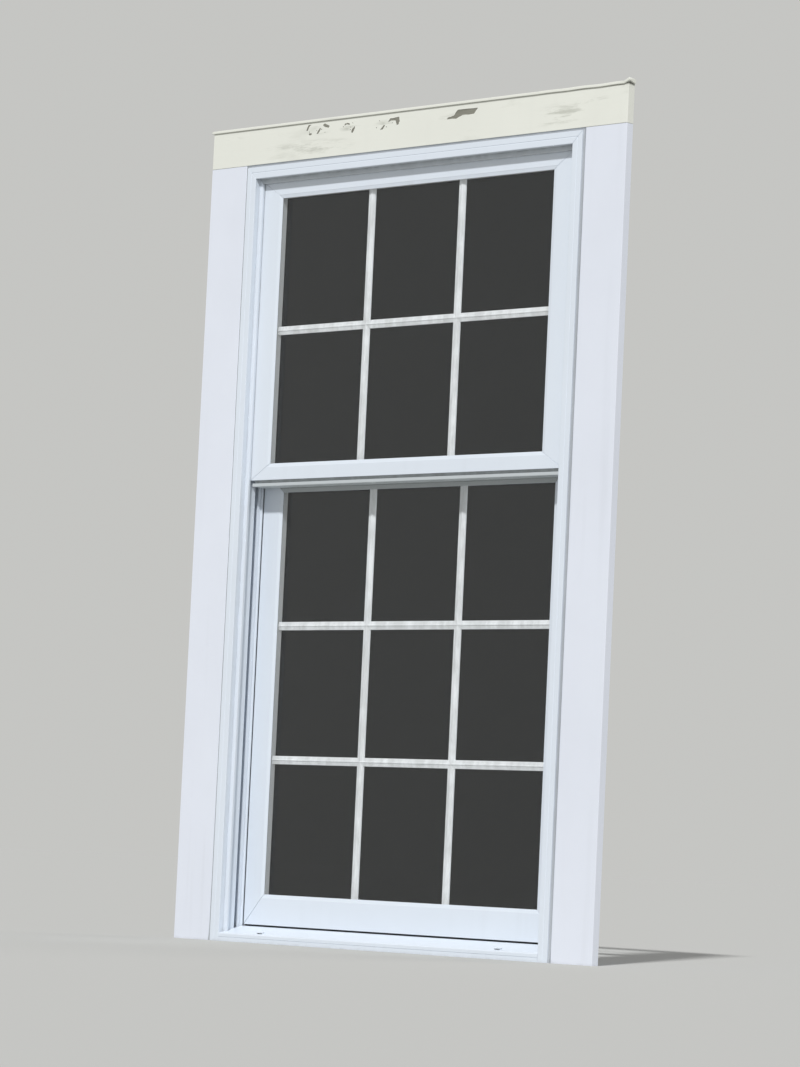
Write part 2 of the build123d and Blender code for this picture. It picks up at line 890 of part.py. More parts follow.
    # Pivot bars: flat bars held in the stiles, reaching into the balance shoes
    with BuildPart() as pivot_bars:
        for side, side_name in sides:
            block(
                (
                    side * (half_sash - pivot_inner),
                    sash.pocket_y - pivot_width / 2,
                    sash.pivot_z - pivot_height / 2,
                ),
                (
                    side * (half_sash + pivot_outer),
                    sash.pocket_y + pivot_width / 2,
                    sash.pivot_z + pivot_height / 2,
                ),
            )
    finish(pivot_bars, sash.name + "_pivot_bars")

    # Balance shoes, rods and tubes, one set in each jamb
    for side, side_name in sides:
        with BuildPart() as shoe:
            near = pocket_inner + shoe_clearance
            far = pocket_outer - shoe_clearance
            half_shoe = pocket_width / 2 - shoe_clearance
            block(
                (side * near, sash.pocket_y - half_shoe, sash.shoe_low),
                (side * far, sash.pocket_y + half_shoe, sash.shoe_high),
            )
            chamfer(shoe.edges().filter_by(Axis.Z), shoe_corner)
            block(
                (side * near, sash.pocket_y - hole_y, sash.pivot_z - hole_z),
                (
                    side * (half_sash + pivot_outer + pivot_fit),
                    sash.pocket_y + hole_y,
                    sash.pivot_z + hole_z,
                ),
                Mode.SUBTRACT,
            )
            socket_x = rod_width / 2 + socket_fit
            socket_y = rod_thickness / 2 + socket_fit
            block(
                (side * tube_x - socket_x, sash.pocket_y - socket_y, sash.shoe_high - rod_socket),
                (side * tube_x + socket_x, sash.pocket_y + socket_y, sash.shoe_high),
                Mode.SUBTRACT,
            )
        finish(shoe, sash.name + "_balance_shoe_" + side_name)

        with BuildPart() as rod:
            rod_low = sash.shoe_high - rod_socket
            block(
                (side * tube_x - rod_width / 2, sash.pocket_y - rod_thickness / 2, rod_low),
                (
                    side * tube_x + rod_width / 2,
                    sash.pocket_y + rod_thickness / 2,
                    sash.shoe_high + sash.rod_length,
                ),
            )
        finish(rod, sash.name + "_balance_rod_" + side_name)

        with BuildPart() as tube:
            tube_plane = Plane(origin=(side * tube_x, sash.pocket_y, sash.tube_low))
            with BuildSketch(tube_plane):
                Circle(tube_radius)
                Circle(tube_radius - tube_wall, mode=Mode.SUBTRACT)
            extrude(amount=sash.tube_high - sash.tube_low)
            with BuildSketch(tube_plane):
                Circle(tube_radius)
                Rectangle(
                    rod_width + 2 * rod_clearance,
                    rod_thickness + 2 * rod_clearance,
                    mode=Mode.SUBTRACT,
                )
            extrude(amount=bushing_length)
            with BuildSketch(tube_plane.offset(sash.tube_high - sash.tube_low)):
                Rectangle(2 * tube_radius, 2 * tube_radius)
            extrude(amount=-hanger_height)
            anchor_hole(side * tube_x, sash.pocket_y, sash.tube_high - anchor_drop)
        finish(tube, "balance_tube_" + sash.name + "_" + side_name)

    # Tilt latches: bars in the top rail's slots, with a ridged thumb piece and a bevelled nose
    for side, side_name in sides:
        with BuildPart() as latch:
            tip = half_sash + latch_reach
            heel = half_sash - latch_slot_length + latch_travel + latch_stop_gap
            half_bar = latch_slot_width / 2 - latch_fit
            half_nose = latch_nose_width / 2
            bar_low = sash.top - latch_slot_depth + latch_fit
            with BuildSketch(Plane(origin=(0, sash.pocket_y, bar_low))):
                with BuildLine():
                    Polyline(
                        (side * heel, -half_bar),
                        (side * half_sash, -half_bar),
                        (side * half_sash, -half_nose),
                        (side * tip, -half_nose),
                        (side * tip, 0),
                        (side * (tip - latch_reach / 2), half_nose),
                        (side * half_sash, half_nose),
                        (side * half_sash, half_bar),
                        (side * heel, half_bar),
                        close=True,
                    )
                make_face()
            extrude(amount=latch_height)
            thumb_start = heel + thumb_inset
            thumb_low = bar_low + latch_height
            thumb_high = sash.top + thumb_height
            block(
                (side * thumb_start, sash.pocket_y - half_bar, thumb_low),
                (side * (thumb_start + thumb_length), sash.pocket_y + half_bar, thumb_high),
            )
            for index in range(thumb_ridges):
                groove_x = side * (thumb_start + thumb_length * (index + 1) / (thumb_ridges + 1))
                groove_low = sash.top + thumb_height / 2
                block(
                    (groove_x - thumb_ridge / 2, sash.pocket_y - half_bar, groove_low),
                    (groove_x + thumb_ridge / 2, sash.pocket_y + half_bar, thumb_high),
                    Mode.SUBTRACT,
                )
        finish(latch, sash.name + "_tilt_latch_" + side_name)

# Screws that hold the balance tubes' tops to the jambs
with BuildPart() as balance_tube_screws:
    for sash in (upper, lower):
        for side, side_name in sides:
            head_x = tube_x - tube_radius
            screw_z = sash.tube_high - anchor_drop
            start = Plane(origin=(side * head_x, sash.pocket_y, screw_z), z_dir=(side, 0, 0))
            with BuildSketch(start):
                RegularPolygon(anchor_head_radius, 6)
            extrude(amount=-anchor_head)
            with BuildSketch(start):
                RegularPolygon(anchor_radius, shank_sides)
            extrude(amount=half_frame - head_x)
finish(balance_tube_screws, "balance_tube_screws")

# Lip strip under the upper sash: a hollow strip with a dark groove above its lip
with BuildPart() as upper_rail_sweep:
    strip_top = upper.bottom
    strip_low = strip_top - strip_height
    strip_front = upper.face_y + strip_setback
    strip_back = upper.room_y - strip_setback
    groove_back = strip_front + strip_groove_depth
    with BuildSketch(across(half_sash - strip_end_gap)):
        area(strip_front, strip_back, strip_low, strip_top - strip_groove)
        area(groove_back, strip_back, strip_low, strip_top)
        area(
            groove_back + strip_wall,
            strip_back - strip_wall,
            strip_low + strip_wall,
            strip_top - strip_wall,
            Mode.SUBTRACT,
        )
    extrude(amount=2 * (half_sash - strip_end_gap))
finish(upper_rail_sweep, "upper_rail_sweep")

# Bulb seal under the lower sash
with BuildPart() as lower_bottom_seal:
    seal_y = lower.face_y + seal_offset
    seal_reach = half_sash - glazing_pocket
    with BuildSketch(across(seal_reach)):
        half_base = kerf_width / 2 - kerf_fit
        base_high = lower.bottom + kerf_depth
        area(seal_y - half_base, seal_y + half_base, base_high - pile_base, base_high)
        area(seal_y - seal_wall, seal_y + seal_wall, lower.bottom - seal_wall, base_high)
        with Locations((seal_y, lower.bottom - seal_radius)):
            Circle(seal_radius)
            Circle(seal_radius - seal_wall, mode=Mode.SUBTRACT)
    extrude(amount=2 * seal_reach)
finish(lower_bottom_seal, "lower_bottom_seal")

# Cam locks on the lower sash: a plate with a domed housing, and a cam with its lever
for side, side_name in sides:
    pivot = Vector(side * lock_x, lock_y, lower.top)
    with BuildPart() as lock_housing:
        with BuildSketch(Plane(origin=pivot)):
            plate = Rectangle(plate_length, plate_width)
            chamfer(plate.vertices(), plate_corner)
        extrude(amount=plate_thickness)
        with BuildSketch(Plane(origin=pivot)):
            RectangleRounded(dome_length, plate_width, dome_corner)
        extrude(amount=dome_height)
        chamfer(lock_housing.faces().sort_by(Axis.Z)[-1].edges(), dome_edge)
        cavity = Plane(origin=pivot + Vector(0, 0, plate_thickness))
        with BuildSketch(cavity):
            cavity_reach = dome_length / 2 - dome_corner / 2
            cavity_depth = plate_width / 2 - dome_corner / 2
            area(-cavity_reach, cavity_reach, -plate_width / 2, cavity_depth)
        extrude(amount=cavity_high - plate_thickness, mode=Mode.SUBTRACT)
        with BuildSketch(Plane(origin=pivot + Vector(0, 0, dome_height))):
            Circle(cam_shaft + shaft_fit)
        extrude(amount=-dome_roof, mode=Mode.SUBTRACT)
        plate_holes_x = [side * lock_x + end * lock_screw_x for end in (-1, 1)]
        screw_holes(plate_holes_x, lock_y, lower.top)
    finish(lock_housing, "lock_housing_" + side_name)

    with BuildPart() as lock_cam:
        with BuildSketch(Plane(origin=pivot + Vector(0, 0, cam_low))):
            with BuildLine():
                CenterArc((0, 0), cam_hub, 0, 360)
                CenterArc((side * (cam_reach - cam_tip), 0), cam_tip, 0, 360)
            make_hull()
        extrude(amount=cam_thickness)
        lever_low = dome_height + cam_gap
        with BuildSketch(Plane(origin=pivot + Vector(0, 0, cam_low))):
            Circle(cam_shaft)
        extrude(amount=lever_low - cam_low)
        with BuildSketch(Plane(origin=pivot + Vector(0, 0, lever_low))):
            with BuildLine():
                CenterArc((0, 0), cam_hub, 0, 360)
                CenterArc((0, lever_reach - lever_tip), lever_tip, 0, 360)
            make_hull()
        extrude(amount=lever_thickness)
        chamfer(lock_cam.faces().sort_by(Axis.Z)[-1].edges(), lever_edge)
    finish(lock_cam, "lock_cam_" + side_name)

# Keepers on the upper sash's ledge: a C-shaped mouth on a screwed foot
with BuildPart() as lock_keepers:
    for side, side_name in sides:
        back_y = keeper_room_y - keeper_depth
        hood_low = lower.top + cavity_high
        half_foot = keeper_length / 2 + keeper_foot
        foot_top = upper.light_low + keeper_wall
        with BuildSketch(across(half_foot, side * lock_x)):
            area(back_y, keeper_room_y, upper.light_low, foot_top)
        extrude(amount=2 * half_foot)
        with BuildSketch(across(keeper_length / 2, side * lock_x)):
            area(back_y, back_y + keeper_wall, upper.light_low, hood_low + keeper_wall)
            area(back_y, keeper_room_y, hood_low, hood_low + keeper_wall)
        extrude(amount=keeper_length)
    screw_holes(keeper_screws_x, keeper_screw_y, upper.light_low)
finish(lock_keepers, "lock_keepers")


# Pan-head screws: heads on the lock plates and keepers, shanks down into the rails
fixings = (
    ("lock_screws", lock_screws_x, lock_y, lower.top + plate_thickness),
    ("keeper_screws", keeper_screws_x, keeper_screw_y, upper.light_low + keeper_wall),
)
for label, places, screw_y, seat in fixings:
    with BuildPart() as screws:
        for x in places:
            with BuildSketch(Plane(origin=(x, screw_y, seat))):
                Circle(screw_head_radius)
            extrude(amount=screw_head)
            with BuildSketch(Plane(origin=(x, screw_y, seat))):
                RegularPolygon(screw_radius, shank_sides)
            extrude(amount=-screw_length)
    finish(screws, label)
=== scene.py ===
import math
import random

import bmesh
import bpy
from mathutils import Matrix, Vector, noise


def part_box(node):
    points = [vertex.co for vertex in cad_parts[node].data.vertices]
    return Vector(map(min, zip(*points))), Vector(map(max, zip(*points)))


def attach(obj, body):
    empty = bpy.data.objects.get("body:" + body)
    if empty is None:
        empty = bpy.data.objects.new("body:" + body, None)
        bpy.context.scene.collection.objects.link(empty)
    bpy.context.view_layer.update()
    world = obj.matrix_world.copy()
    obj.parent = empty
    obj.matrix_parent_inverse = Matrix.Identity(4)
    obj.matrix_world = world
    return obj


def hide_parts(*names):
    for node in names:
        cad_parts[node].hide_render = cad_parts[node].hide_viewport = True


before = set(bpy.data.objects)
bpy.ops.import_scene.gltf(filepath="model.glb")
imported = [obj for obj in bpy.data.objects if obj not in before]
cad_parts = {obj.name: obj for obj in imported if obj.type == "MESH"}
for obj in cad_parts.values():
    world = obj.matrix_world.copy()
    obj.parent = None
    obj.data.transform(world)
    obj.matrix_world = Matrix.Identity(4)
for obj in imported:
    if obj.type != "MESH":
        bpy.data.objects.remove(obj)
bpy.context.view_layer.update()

# Colours of the finishes and of painted shade, as linear values
VINYL_WHITE = (0.745, 0.805, 0.882)
DUSTY_VINYL = (0.540, 0.580, 0.600)
# Painted shade on the front of the lower sash's top rail, under the upper sash's rail
UNDER_RAIL_SHADE_VINYL = (0.400, 0.430, 0.440)
# Painted shade in the frame head's rebate, and the still deeper shade painted into its corners
REBATE_SHADE_VINYL = (0.560, 0.600, 0.640)
REBATE_SHADE = (0.060, 0.070, 0.080)
CASING_WHITE = (0.785, 0.822, 0.905)
HEAD_CREAM = (0.815, 0.825, 0.758)
BARE_WOOD = (0.120, 0.118, 0.095)
WORN_WOOD = (0.350, 0.345, 0.290)
OLD_PRIMER = (0.420, 0.410, 0.360)
CAULK_GREY = (0.440, 0.470, 0.510)
# Painted shade of the unlit room, on the inner panes where they are entered from outside
PANE_ROOM_SHADE = (0.0008, 0.0009, 0.0010)
BAR_WHITE = (0.900, 0.925, 0.950)
GLASS_TINT = (0.990, 0.995, 0.995)
# Soil and painted shade in grooves and joints; the rain streaks take this colour too
GRIME_AND_SHADE = (0.235, 0.240, 0.235)
ALGAE_GREY = (0.430, 0.440, 0.380)
WOOD_CHECK = (0.030, 0.028, 0.020)
LOCK_WHITE = (0.760, 0.765, 0.750)
LATCH_WHITE = (0.740, 0.760, 0.800)
SPACER_GREY = (0.400, 0.415, 0.425)
ZINC = (0.660, 0.670, 0.690)
DRAWN_ALUMINIUM = (0.780, 0.790, 0.800)
PILE_GREY = (0.260, 0.265, 0.275)
SEAL_BLACK = (0.060, 0.062, 0.065)
SHOE_BLACK = (0.050, 0.052, 0.056)
# Soil and painted shadow in the line under the cap's joint
JOINT_DIRT_AND_SHADOW = (0.150, 0.148, 0.125)

# Paint film of the head casing, in metres
FILM_DEPTH = 0.0007
BOARD_EDGE = 0.001

# Worn patches on the head casing: middle and reach of each along X and Z, in metres
WORN_PATCHES = (
    ((0.415, 1.733), (0.100, 0.030)),
    ((0.500, 1.752), (0.060, 0.016)),
    ((-0.300, 1.727), (0.170, 0.020)),
    ((-0.525, 1.770), (0.035, 0.008)),
    ((-0.275, 1.766), (0.050, 0.014)),
    ((-0.178, 1.763), (0.035, 0.013)),
    ((-0.065, 1.760), (0.045, 0.013)),
    ((0.115, 1.758), (0.040, 0.009)),
)
# How deep the patches go along Y, and how far the soil and painted shadow reach down from the cap's
# joint
WORN_DEPTH = 0.012
JOINT_REACH = 0.0042

# Studio; each lamp's azimuth, elevation and spread are in degrees
BACKGROUND = (0.560, 0.562, 0.545)
FLOOR_COLOUR = (0.520, 0.522, 0.507)
AMBIENT = 0.34
KEY_STRENGTH = 2.72
KEY_PLACE = (28.0, 46.5, 3.0)
FILL_STRENGTH = 0.6
FILL_PLACE = (160.0, 35.0, 40.0)
FLOOR_HALF = 60.0

# Camera: where the photograph was taken from, its lean, and a lens that fills the picture
CAMERA_PLACE = Vector((5.631, -6.2255, 0.196))
CAMERA_UP = Vector((-0.0028, -0.0659, 0.9978))
CAMERA_AIM = Vector((0.0, -0.03, 0.880))
CAMERA_LENS = 134.0
SENSOR_WIDTH = 36.0
FARTHEST_SEEN = 200.0


# Making the finishes

def joined(tree, source, target):
    """Links a node's output to another node's input."""
    tree.links.new(source, target)


def add_node(tree, kind, **settings):
    """Adds a node of a kind to a tree and sets its properties."""
    node = tree.nodes.new(kind)
    for key, value in settings.items():
        setattr(node, key, value)
    return node


def set_inputs(node, **values):
    """Sets a node's unlinked sockets by name, with underscores for spaces."""
    for key, value in values.items():
        node.inputs[key.replace("_", " ")].default_value = value
    return node


def start_group(name, inputs, outputs):
    """A new shader node group with named sockets: returns its tree, input node and output node."""
    tree = bpy.data.node_groups.new(name, "ShaderNodeTree")
    for socket_name, kind, default in inputs:
        socket = tree.interface.new_socket(socket_name, in_out="INPUT", socket_type=kind)
        socket.default_value = default
    for socket_name, kind in outputs:
        tree.interface.new_socket(socket_name, in_out="OUTPUT", socket_type=kind)
    return tree, tree.nodes.new("NodeGroupInput"), tree.nodes.new("NodeGroupOutput")


def object_noise(tree, scale, stretch=(1.0, 1.0, 1.0), detail=4.0, roughness=0.55):
    """Noise on object coordinates, stretched along the axes with the smaller factors."""
    coordinates = add_node(tree, "ShaderNodeTexCoord")
    mapping = add_node(tree, "ShaderNodeMapping")
    mapping.inputs["Scale"].default_value = stretch
    texture = add_node(tree, "ShaderNodeTexNoise")
    set_inputs(texture, Scale=scale, Detail=detail, Roughness=roughness)
    joined(tree, coordinates.outputs["Object"], mapping.inputs["Vector"])
    joined(tree, mapping.outputs["Vector"], texture.inputs["Vector"])
    return texture


def along(tree, axis):
    """A point's place along one axis, X, Y or Z, in the object's own coordinates."""
    place = add_node(tree, "ShaderNodeTexCoord")
    parts = add_node(tree, "ShaderNodeSeparateXYZ")
    joined(tree, place.outputs["Object"], parts.inputs[0])
    return parts.outputs[axis]


def remapped(tree, source, low, high, to_low=0.0, to_high=1.0):
    """Maps a value's range to another one, clamped."""
    node = add_node(tree, "ShaderNodeMapRange")
    values = {"From Min": low, "From Max": high, "To Min": to_low, "To Max": to_high}
    for key, value in values.items():
        node.inputs[key].default_value = value
    joined(tree, source, node.inputs["Value"])
    return node.outputs["Result"]


def blended(tree, factor, first, second):
    """Mixes two colours; each argument is a socket or a constant."""
    node = add_node(tree, "ShaderNodeMix", data_type="RGBA")
    pairs = ((factor, node.inputs[0]), (first, node.inputs[6]), (second, node.inputs[7]))
    for value, socket in pairs:
        if isinstance(value, bpy.types.NodeSocket):
            joined(tree, value, socket)
        elif isinstance(value, tuple):
            socket.default_value = (*value, 1.0)
        else:
            socket.default_value = value
    return node.outputs[2]


def calculated(tree, operation, first, second):
    """A math node on two sockets or constants."""
    node = add_node(tree, "ShaderNodeMath", operation=operation)
    for value, socket in zip((first, second), node.inputs):
        if isinstance(value, bpy.types.NodeSocket):
            joined(tree, value, socket)
        else:
            socket.default_value = value
    return node.outputs[0]


def crevice_grime_and_shade_group():
    """Soil and painted shade that gather in grooves and joints: a colour in, the darkened colour
    out.
    """
    inputs = (
        ("Color", "NodeSocketColor", (0.8, 0.8, 0.8, 1.0)),
        ("Grime", "NodeSocketColor", (*GRIME_AND_SHADE, 1.0)),
        ("Amount", "NodeSocketFloat", 0.4),
        ("Reach", "NodeSocketFloat", 0.012),
    )
    tree, entry, result = start_group(
        "crevice soil and painted shade", inputs, (("Color", "NodeSocketColor"), ("Mask", "NodeSocketFloat"))
    )
    # Ambient occlusion darkens grooves and joints as painted shade, made patchy like soil
    hidden = add_node(tree, "ShaderNodeAmbientOcclusion", samples=8)
    joined(tree, entry.outputs["Reach"], hidden.inputs["Distance"])
    depth = remapped(tree, hidden.outputs["AO"], 0.74, 0.18)
    patches = object_noise(tree, 60.0, (1.0, 1.0, 0.35))
    patchy = remapped(tree, patches.outputs["Fac"], 0.35, 0.62, 0.35, 1.0)
    mask = calculated(tree, "MULTIPLY", depth, patchy)
    mask = calculated(tree, "MULTIPLY", mask, entry.outputs["Amount"])
    colour = blended(tree, mask, entry.outputs["Color"], entry.outputs["Grime"])
    joined(tree, colour, result.inputs["Color"])
    joined(tree, mask, result.inputs["Mask"])
    return tree


def weather_group():
    """Rain streaks down a face and a soft mottle: a colour in, the weathered colour out."""
    inputs = (
        ("Color", "NodeSocketColor", (0.8, 0.8, 0.8, 1.0)),
        ("Streak", "NodeSocketColor", (*GRIME_AND_SHADE, 1.0)),
        ("Streaks", "NodeSocketFloat", 0.1),
        ("Mottle", "NodeSocketFloat", 0.06),
    )
    tree, entry, result = start_group(
        "weather", inputs, (("Color", "NodeSocketColor"), ("Height", "NodeSocketFloat"))
    )
    runs = object_noise(tree, 34.0, (1.0, 1.0, 0.035), detail=5.0)
    run_mask = remapped(tree, runs.outputs["Fac"], 0.52, 0.74)
    breaks = object_noise(tree, 5.0, (1.0, 1.0, 0.6))
    break_mask = remapped(tree, breaks.outputs["Fac"], 0.42, 0.66)
    run_mask = calculated(tree, "MULTIPLY", run_mask, break_mask)
    run_mask = calculated(tree, "MULTIPLY", run_mask, entry.outputs["Streaks"])
    colour = blended(tree, run_mask, entry.outputs["Color"], entry.outputs["Streak"])
    clouds = object_noise(tree, 3.2, detail=6.0)
    shade = remapped(tree, clouds.outputs["Fac"], 0.3, 0.7, -1.0, 0.0)
    shade = calculated(tree, "MULTIPLY", shade, entry.outputs["Mottle"])
    shade = calculated(tree, "ADD", shade, 1.0)
    darker = add_node(tree, "ShaderNodeVectorMath", operation="SCALE")
    joined(tree, colour, darker.inputs[0])
    joined(tree, shade, darker.inputs["Scale"])
    joined(tree, darker.outputs["Vector"], result.inputs["Color"])
    fine = object_noise(tree, 520.0, detail=3.0)
    joined(tree, fine.outputs["Fac"], result.inputs["Height"])
    return tree


def level_grain_group():
    """Wood grain along X under paint: its relief and its darker checks."""
    tree, entry, result = start_group(
        "level grain",
        (("Fineness", "NodeSocketFloat", 1.0),),
        (("Relief", "NodeSocketFloat"), ("Checks", "NodeSocketFloat")),
    )
    fibres = object_noise(tree, 95.0, (0.055, 1.0, 1.0), detail=6.0, roughness=0.62)
    joined(tree, entry.outputs["Fineness"], fibres.inputs["Lacunarity"])
    lines = object_noise(tree, 42.0, (0.04, 1.0, 1.0), detail=8.0, roughness=0.7)
    joined(tree, fibres.outputs["Fac"], result.inputs["Relief"])
    checks = remapped(tree, lines.outputs["Fac"], 0.66, 0.74)
    joined(tree, checks, result.inputs["Checks"])
    return tree


crevice_grime_and_shade = crevice_grime_and_shade_group()
weather = weather_group()
level_grain = level_grain_group()


class Finish:
    """One material: its tree, its Principled shader, and ways to place the shared effects."""

    def __init__(self, name, colour, roughness, metallic=0.0):
        self.material = bpy.data.materials.new(name)
        self.material.use_nodes = True
        self.tree = self.material.node_tree
        self.shader = self.tree.nodes["Principled BSDF"]
        set_inputs(self.shader, Base_Color=(*colour, 1.0), Roughness=roughness, Metallic=metallic)
        self.colour = (*colour, 1.0)

    def effect(self, group, **values):
        """Places a shared effect after the colour so far, and returns its node."""
        node = add_node(self.tree, "ShaderNodeGroup", node_tree=group)
        for key, value in values.items():
            node.inputs[key].default_value = (*value, 1.0) if isinstance(value, tuple) else value
        if "Color" in node.inputs:
            self.put(self.colour, node.inputs["Color"])
            self.colour = node.outputs["Color"]
        return node

    def put(self, value, socket):
        """Links a socket, or writes a constant."""
        if isinstance(value, bpy.types.NodeSocket):
            joined(self.tree, value, socket)
        else:
            socket.default_value = value

    def blend(self, factor, colour):
        """Lays a second colour over the first by a mask."""
        first = self.colour if isinstance(self.colour, bpy.types.NodeSocket) else self.colour[:3]
        self.colour = blended(self.tree, factor, first, colour)

    def bump(self, height, distance, strength=1.0):
        """Adds relief from a height socket; the distance is in metres."""
        node = add_node(self.tree, "ShaderNodeBump")
        set_inputs(node, Strength=strength, Distance=distance)
        joined(self.tree, height, node.inputs["Height"])
        if self.shader.inputs["Normal"].is_linked:
            previous = self.shader.inputs["Normal"].links[0].from_socket
            joined(self.tree, previous, node.inputs["Normal"])
        joined(self.tree, node.outputs["Normal"], self.shader.inputs["Normal"])

    def gloss(self, height, low, high):
        """Varies the roughness with a noise value."""
        value = remapped(self.tree, height, 0.3, 0.7, low, high)
        joined(self.tree, value, self.shader.inputs["Roughness"])

    def done(self):
        """Joins the colour to the shader and returns the material."""
        self.put(self.colour, self.shader.inputs["Base Color"])
        return self.material


def vinyl_finish(name, colour, soiling_and_shade, reach=0.012, grime_and_shade=GRIME_AND_SHADE):
    """White extruded vinyl: a soft mottle, faint streaks, soil and painted shade in the grooves."""
    finish = Finish(name, colour, 0.4)
    weathered = finish.effect(weather, Streaks=0.07, Mottle=0.035)
    # Soil and painted shade in grooves and joints
    finish.effect(crevice_grime_and_shade, Amount=soiling_and_shade, Reach=reach, Grime=grime_and_shade)
    finish.bump(weathered.outputs["Height"], 0.00002)
    haze = object_noise(finish.tree, 18.0)
    finish.gloss(haze.outputs["Fac"], 0.34, 0.46)
    return finish.done()


def casing_finish():
    """Cool white paint on the side casings, rolled on, a little chalky."""
    finish = Finish("casing paint", CASING_WHITE, 0.5)
    weathered = finish.effect(weather, Streaks=0.09, Mottle=0.05)
    # Soil and painted shade in grooves and joints
    finish.effect(crevice_grime_and_shade, Amount=0.5)
    stipple = object_noise(finish.tree, 900.0, detail=2.0)
    finish.bump(stipple.outputs["Fac"], 0.00005)
    finish.bump(weathered.outputs["Height"], 0.00003)
    finish.gloss(stipple.outputs["Fac"], 0.45, 0.6)
    return finish.done()


def worn_patch(tree, middle, reach):
    """A soft oval mask on the face of a board, 1 in its middle and 0 from its edge on."""
    coordinates = add_node(tree, "ShaderNodeTexCoord")
    mapping = add_node(tree, "ShaderNodeMapping", vector_type="TEXTURE")
    mapping.inputs["Location"].default_value = (middle[0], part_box("head_casing")[0].y, middle[1])
    mapping.inputs["Scale"].default_value = (reach[0], WORN_DEPTH, reach[1])
    length = add_node(tree, "ShaderNodeVectorMath", operation="LENGTH")
    joined(tree, coordinates.outputs["Object"], mapping.inputs["Vector"])
    joined(tree, mapping.outputs["Vector"], length.inputs[0])
    return remapped(tree, length.outputs["Value"], 1.0, 0.35)


def joint_dirt_and_shadow_line(tree, height):
    """A mask for soil and painted shadow under a level joint: 1 at the joint and 0 a little below.
    """
    return remapped(tree, along(tree, "Z"), height - JOINT_REACH, height - JOINT_REACH / 3)


def cream_paint(name, checks_amount, grey_amount, joint_height=None):
    """Old cream paint on wood, with the grain telegraphing through and grey weather marks."""
    finish = Finish(name, HEAD_CREAM, 0.55)
    finish.effect(weather, Streaks=0.05, Mottle=0.05)
    blotches = object_noise(finish.tree, 7.5, (0.45, 1.0, 1.6), detail=7.0, roughness=0.62)
    blotch_mask = remapped(finish.tree, blotches.outputs["Fac"], 0.58, 0.76, 0.0, grey_amount)
    finish.blend(blotch_mask, ALGAE_GREY)
    runs = object_noise(finish.tree, 60.0, (0.16, 1.0, 1.0), detail=6.0, roughness=0.65)
    run_mask = remapped(finish.tree, runs.outputs["Fac"], 0.50, 0.62, 0.0, 0.62)
    for middle, reach in WORN_PATCHES:
        patch = worn_patch(finish.tree, middle, reach)
        finish.blend(calculated(finish.tree, "MULTIPLY", patch, run_mask), ALGAE_GREY)
    grain = add_node(finish.tree, "ShaderNodeGroup", node_tree=level_grain)
    grain.inputs["Fineness"].default_value = 2.1
    check_mask = calculated(finish.tree, "MULTIPLY", grain.outputs["Checks"], checks_amount)
    finish.blend(check_mask, OLD_PRIMER)
    # Soil and painted shadow in a line under the cap's joint, on the head casing only
    if joint_height:
        dirt_and_shadow = calculated(finish.tree, "MULTIPLY", joint_dirt_and_shadow_line(finish.tree, joint_height), 0.8)
        finish.blend(dirt_and_shadow, JOINT_DIRT_AND_SHADOW)
    # Soil and painted shade in grooves and joints
    finish.effect(crevice_grime_and_shade, Amount=0.6)
    finish.bump(grain.outputs["Relief"], 0.00022)
    finish.gloss(grain.outputs["Relief"], 0.5, 0.66)
    return finish.done()


def bare_wood_finish():
    """Grey weathered wood where the paint is off."""
    finish = Finish("bare weathered wood", BARE_WOOD, 0.85)
    grain = add_node(finish.tree, "ShaderNodeGroup", node_tree=level_grain)
    grain.inputs["Fineness"].default_value = 2.4
    finish.blend(grain.outputs["Relief"], WORN_WOOD)
    finish.blend(grain.outputs["Checks"], WOOD_CHECK)
    finish.bump(grain.outputs["Relief"], 0.0005)
    return finish.done()


def sealant_finish():
    """Tooled grey-white sealant, a little dirty, with painted shade in its hollows."""
    finish = Finish("sealant", CAULK_GREY, 0.6)
    weathered = finish.effect(weather, Streaks=0.25, Mottle=0.2)
    # Soil and painted shade in the sealant's hollows
    finish.effect(crevice_grime_and_shade, Amount=0.7)
    lumps = object_noise(finish.tree, 90.0, detail=3.0)
    finish.bump(lumps.outputs["Fac"], 0.0005)
    finish.bump(weathered.outputs["Height"], 0.00003)
    return finish.done()


def enamel_finish(name, colour, roughness):
    """Baked enamel on the bars, locks and latches: slight orange peel, dust and painted shade in
    the corners.
    """
    finish = Finish(name, colour, roughness)
    # Dust and painted shade in the corners
    finish.effect(crevice_grime_and_shade, Amount=0.4)
    peel = object_noise(finish.tree, 420.0, detail=2.0)
    finish.bump(peel.outputs["Fac"], 0.00003)
    finish.gloss(peel.outputs["Fac"], roughness - 0.05, roughness + 0.06)
    return finish.done()


def metal_finish(name, colour, roughness, scale, stretch=(1.0, 1.0, 1.0)):
    """Bare metal with a spangle or drawn lines in its gloss, and dull patches."""
    finish = Finish(name, colour, roughness, metallic=1.0)
    lines = object_noise(finish.tree, scale, stretch, detail=5.0)
    finish.gloss(lines.outputs["Fac"], roughness - 0.08, roughness + 0.14)
    dull = remapped(finish.tree, lines.outputs["Fac"], 0.4, 0.75, 0.0, 0.35)
    finish.blend(dull, tuple(0.55 * value for value in colour))
    # Soil and painted shade in grooves and joints
    finish.effect(crevice_grime_and_shade, Amount=0.35)
    finish.bump(lines.outputs["Fac"], 0.00004)
    return finish.done()


def dull_finish(name, colour, roughness, scale, relief, stretch=(1.0, 1.0, 1.0)):
    """Pile, rubber and moulded plastic: a mottled colour with a matching relief."""
    finish = Finish(name, colour, roughness)
    pattern = object_noise(finish.tree, scale, stretch, detail=4.0)
    mask = remapped(finish.tree, pattern.outputs["Fac"], 0.3, 0.7, 0.0, 0.55)
    finish.blend(mask, tuple(0.5 * value for value in colour))
    # Soil and painted shade in grooves and joints
    finish.effect(crevice_grime_and_shade, Amount=0.3)
    finish.bump(pattern.outputs["Fac"], relief)
    return finish.done()


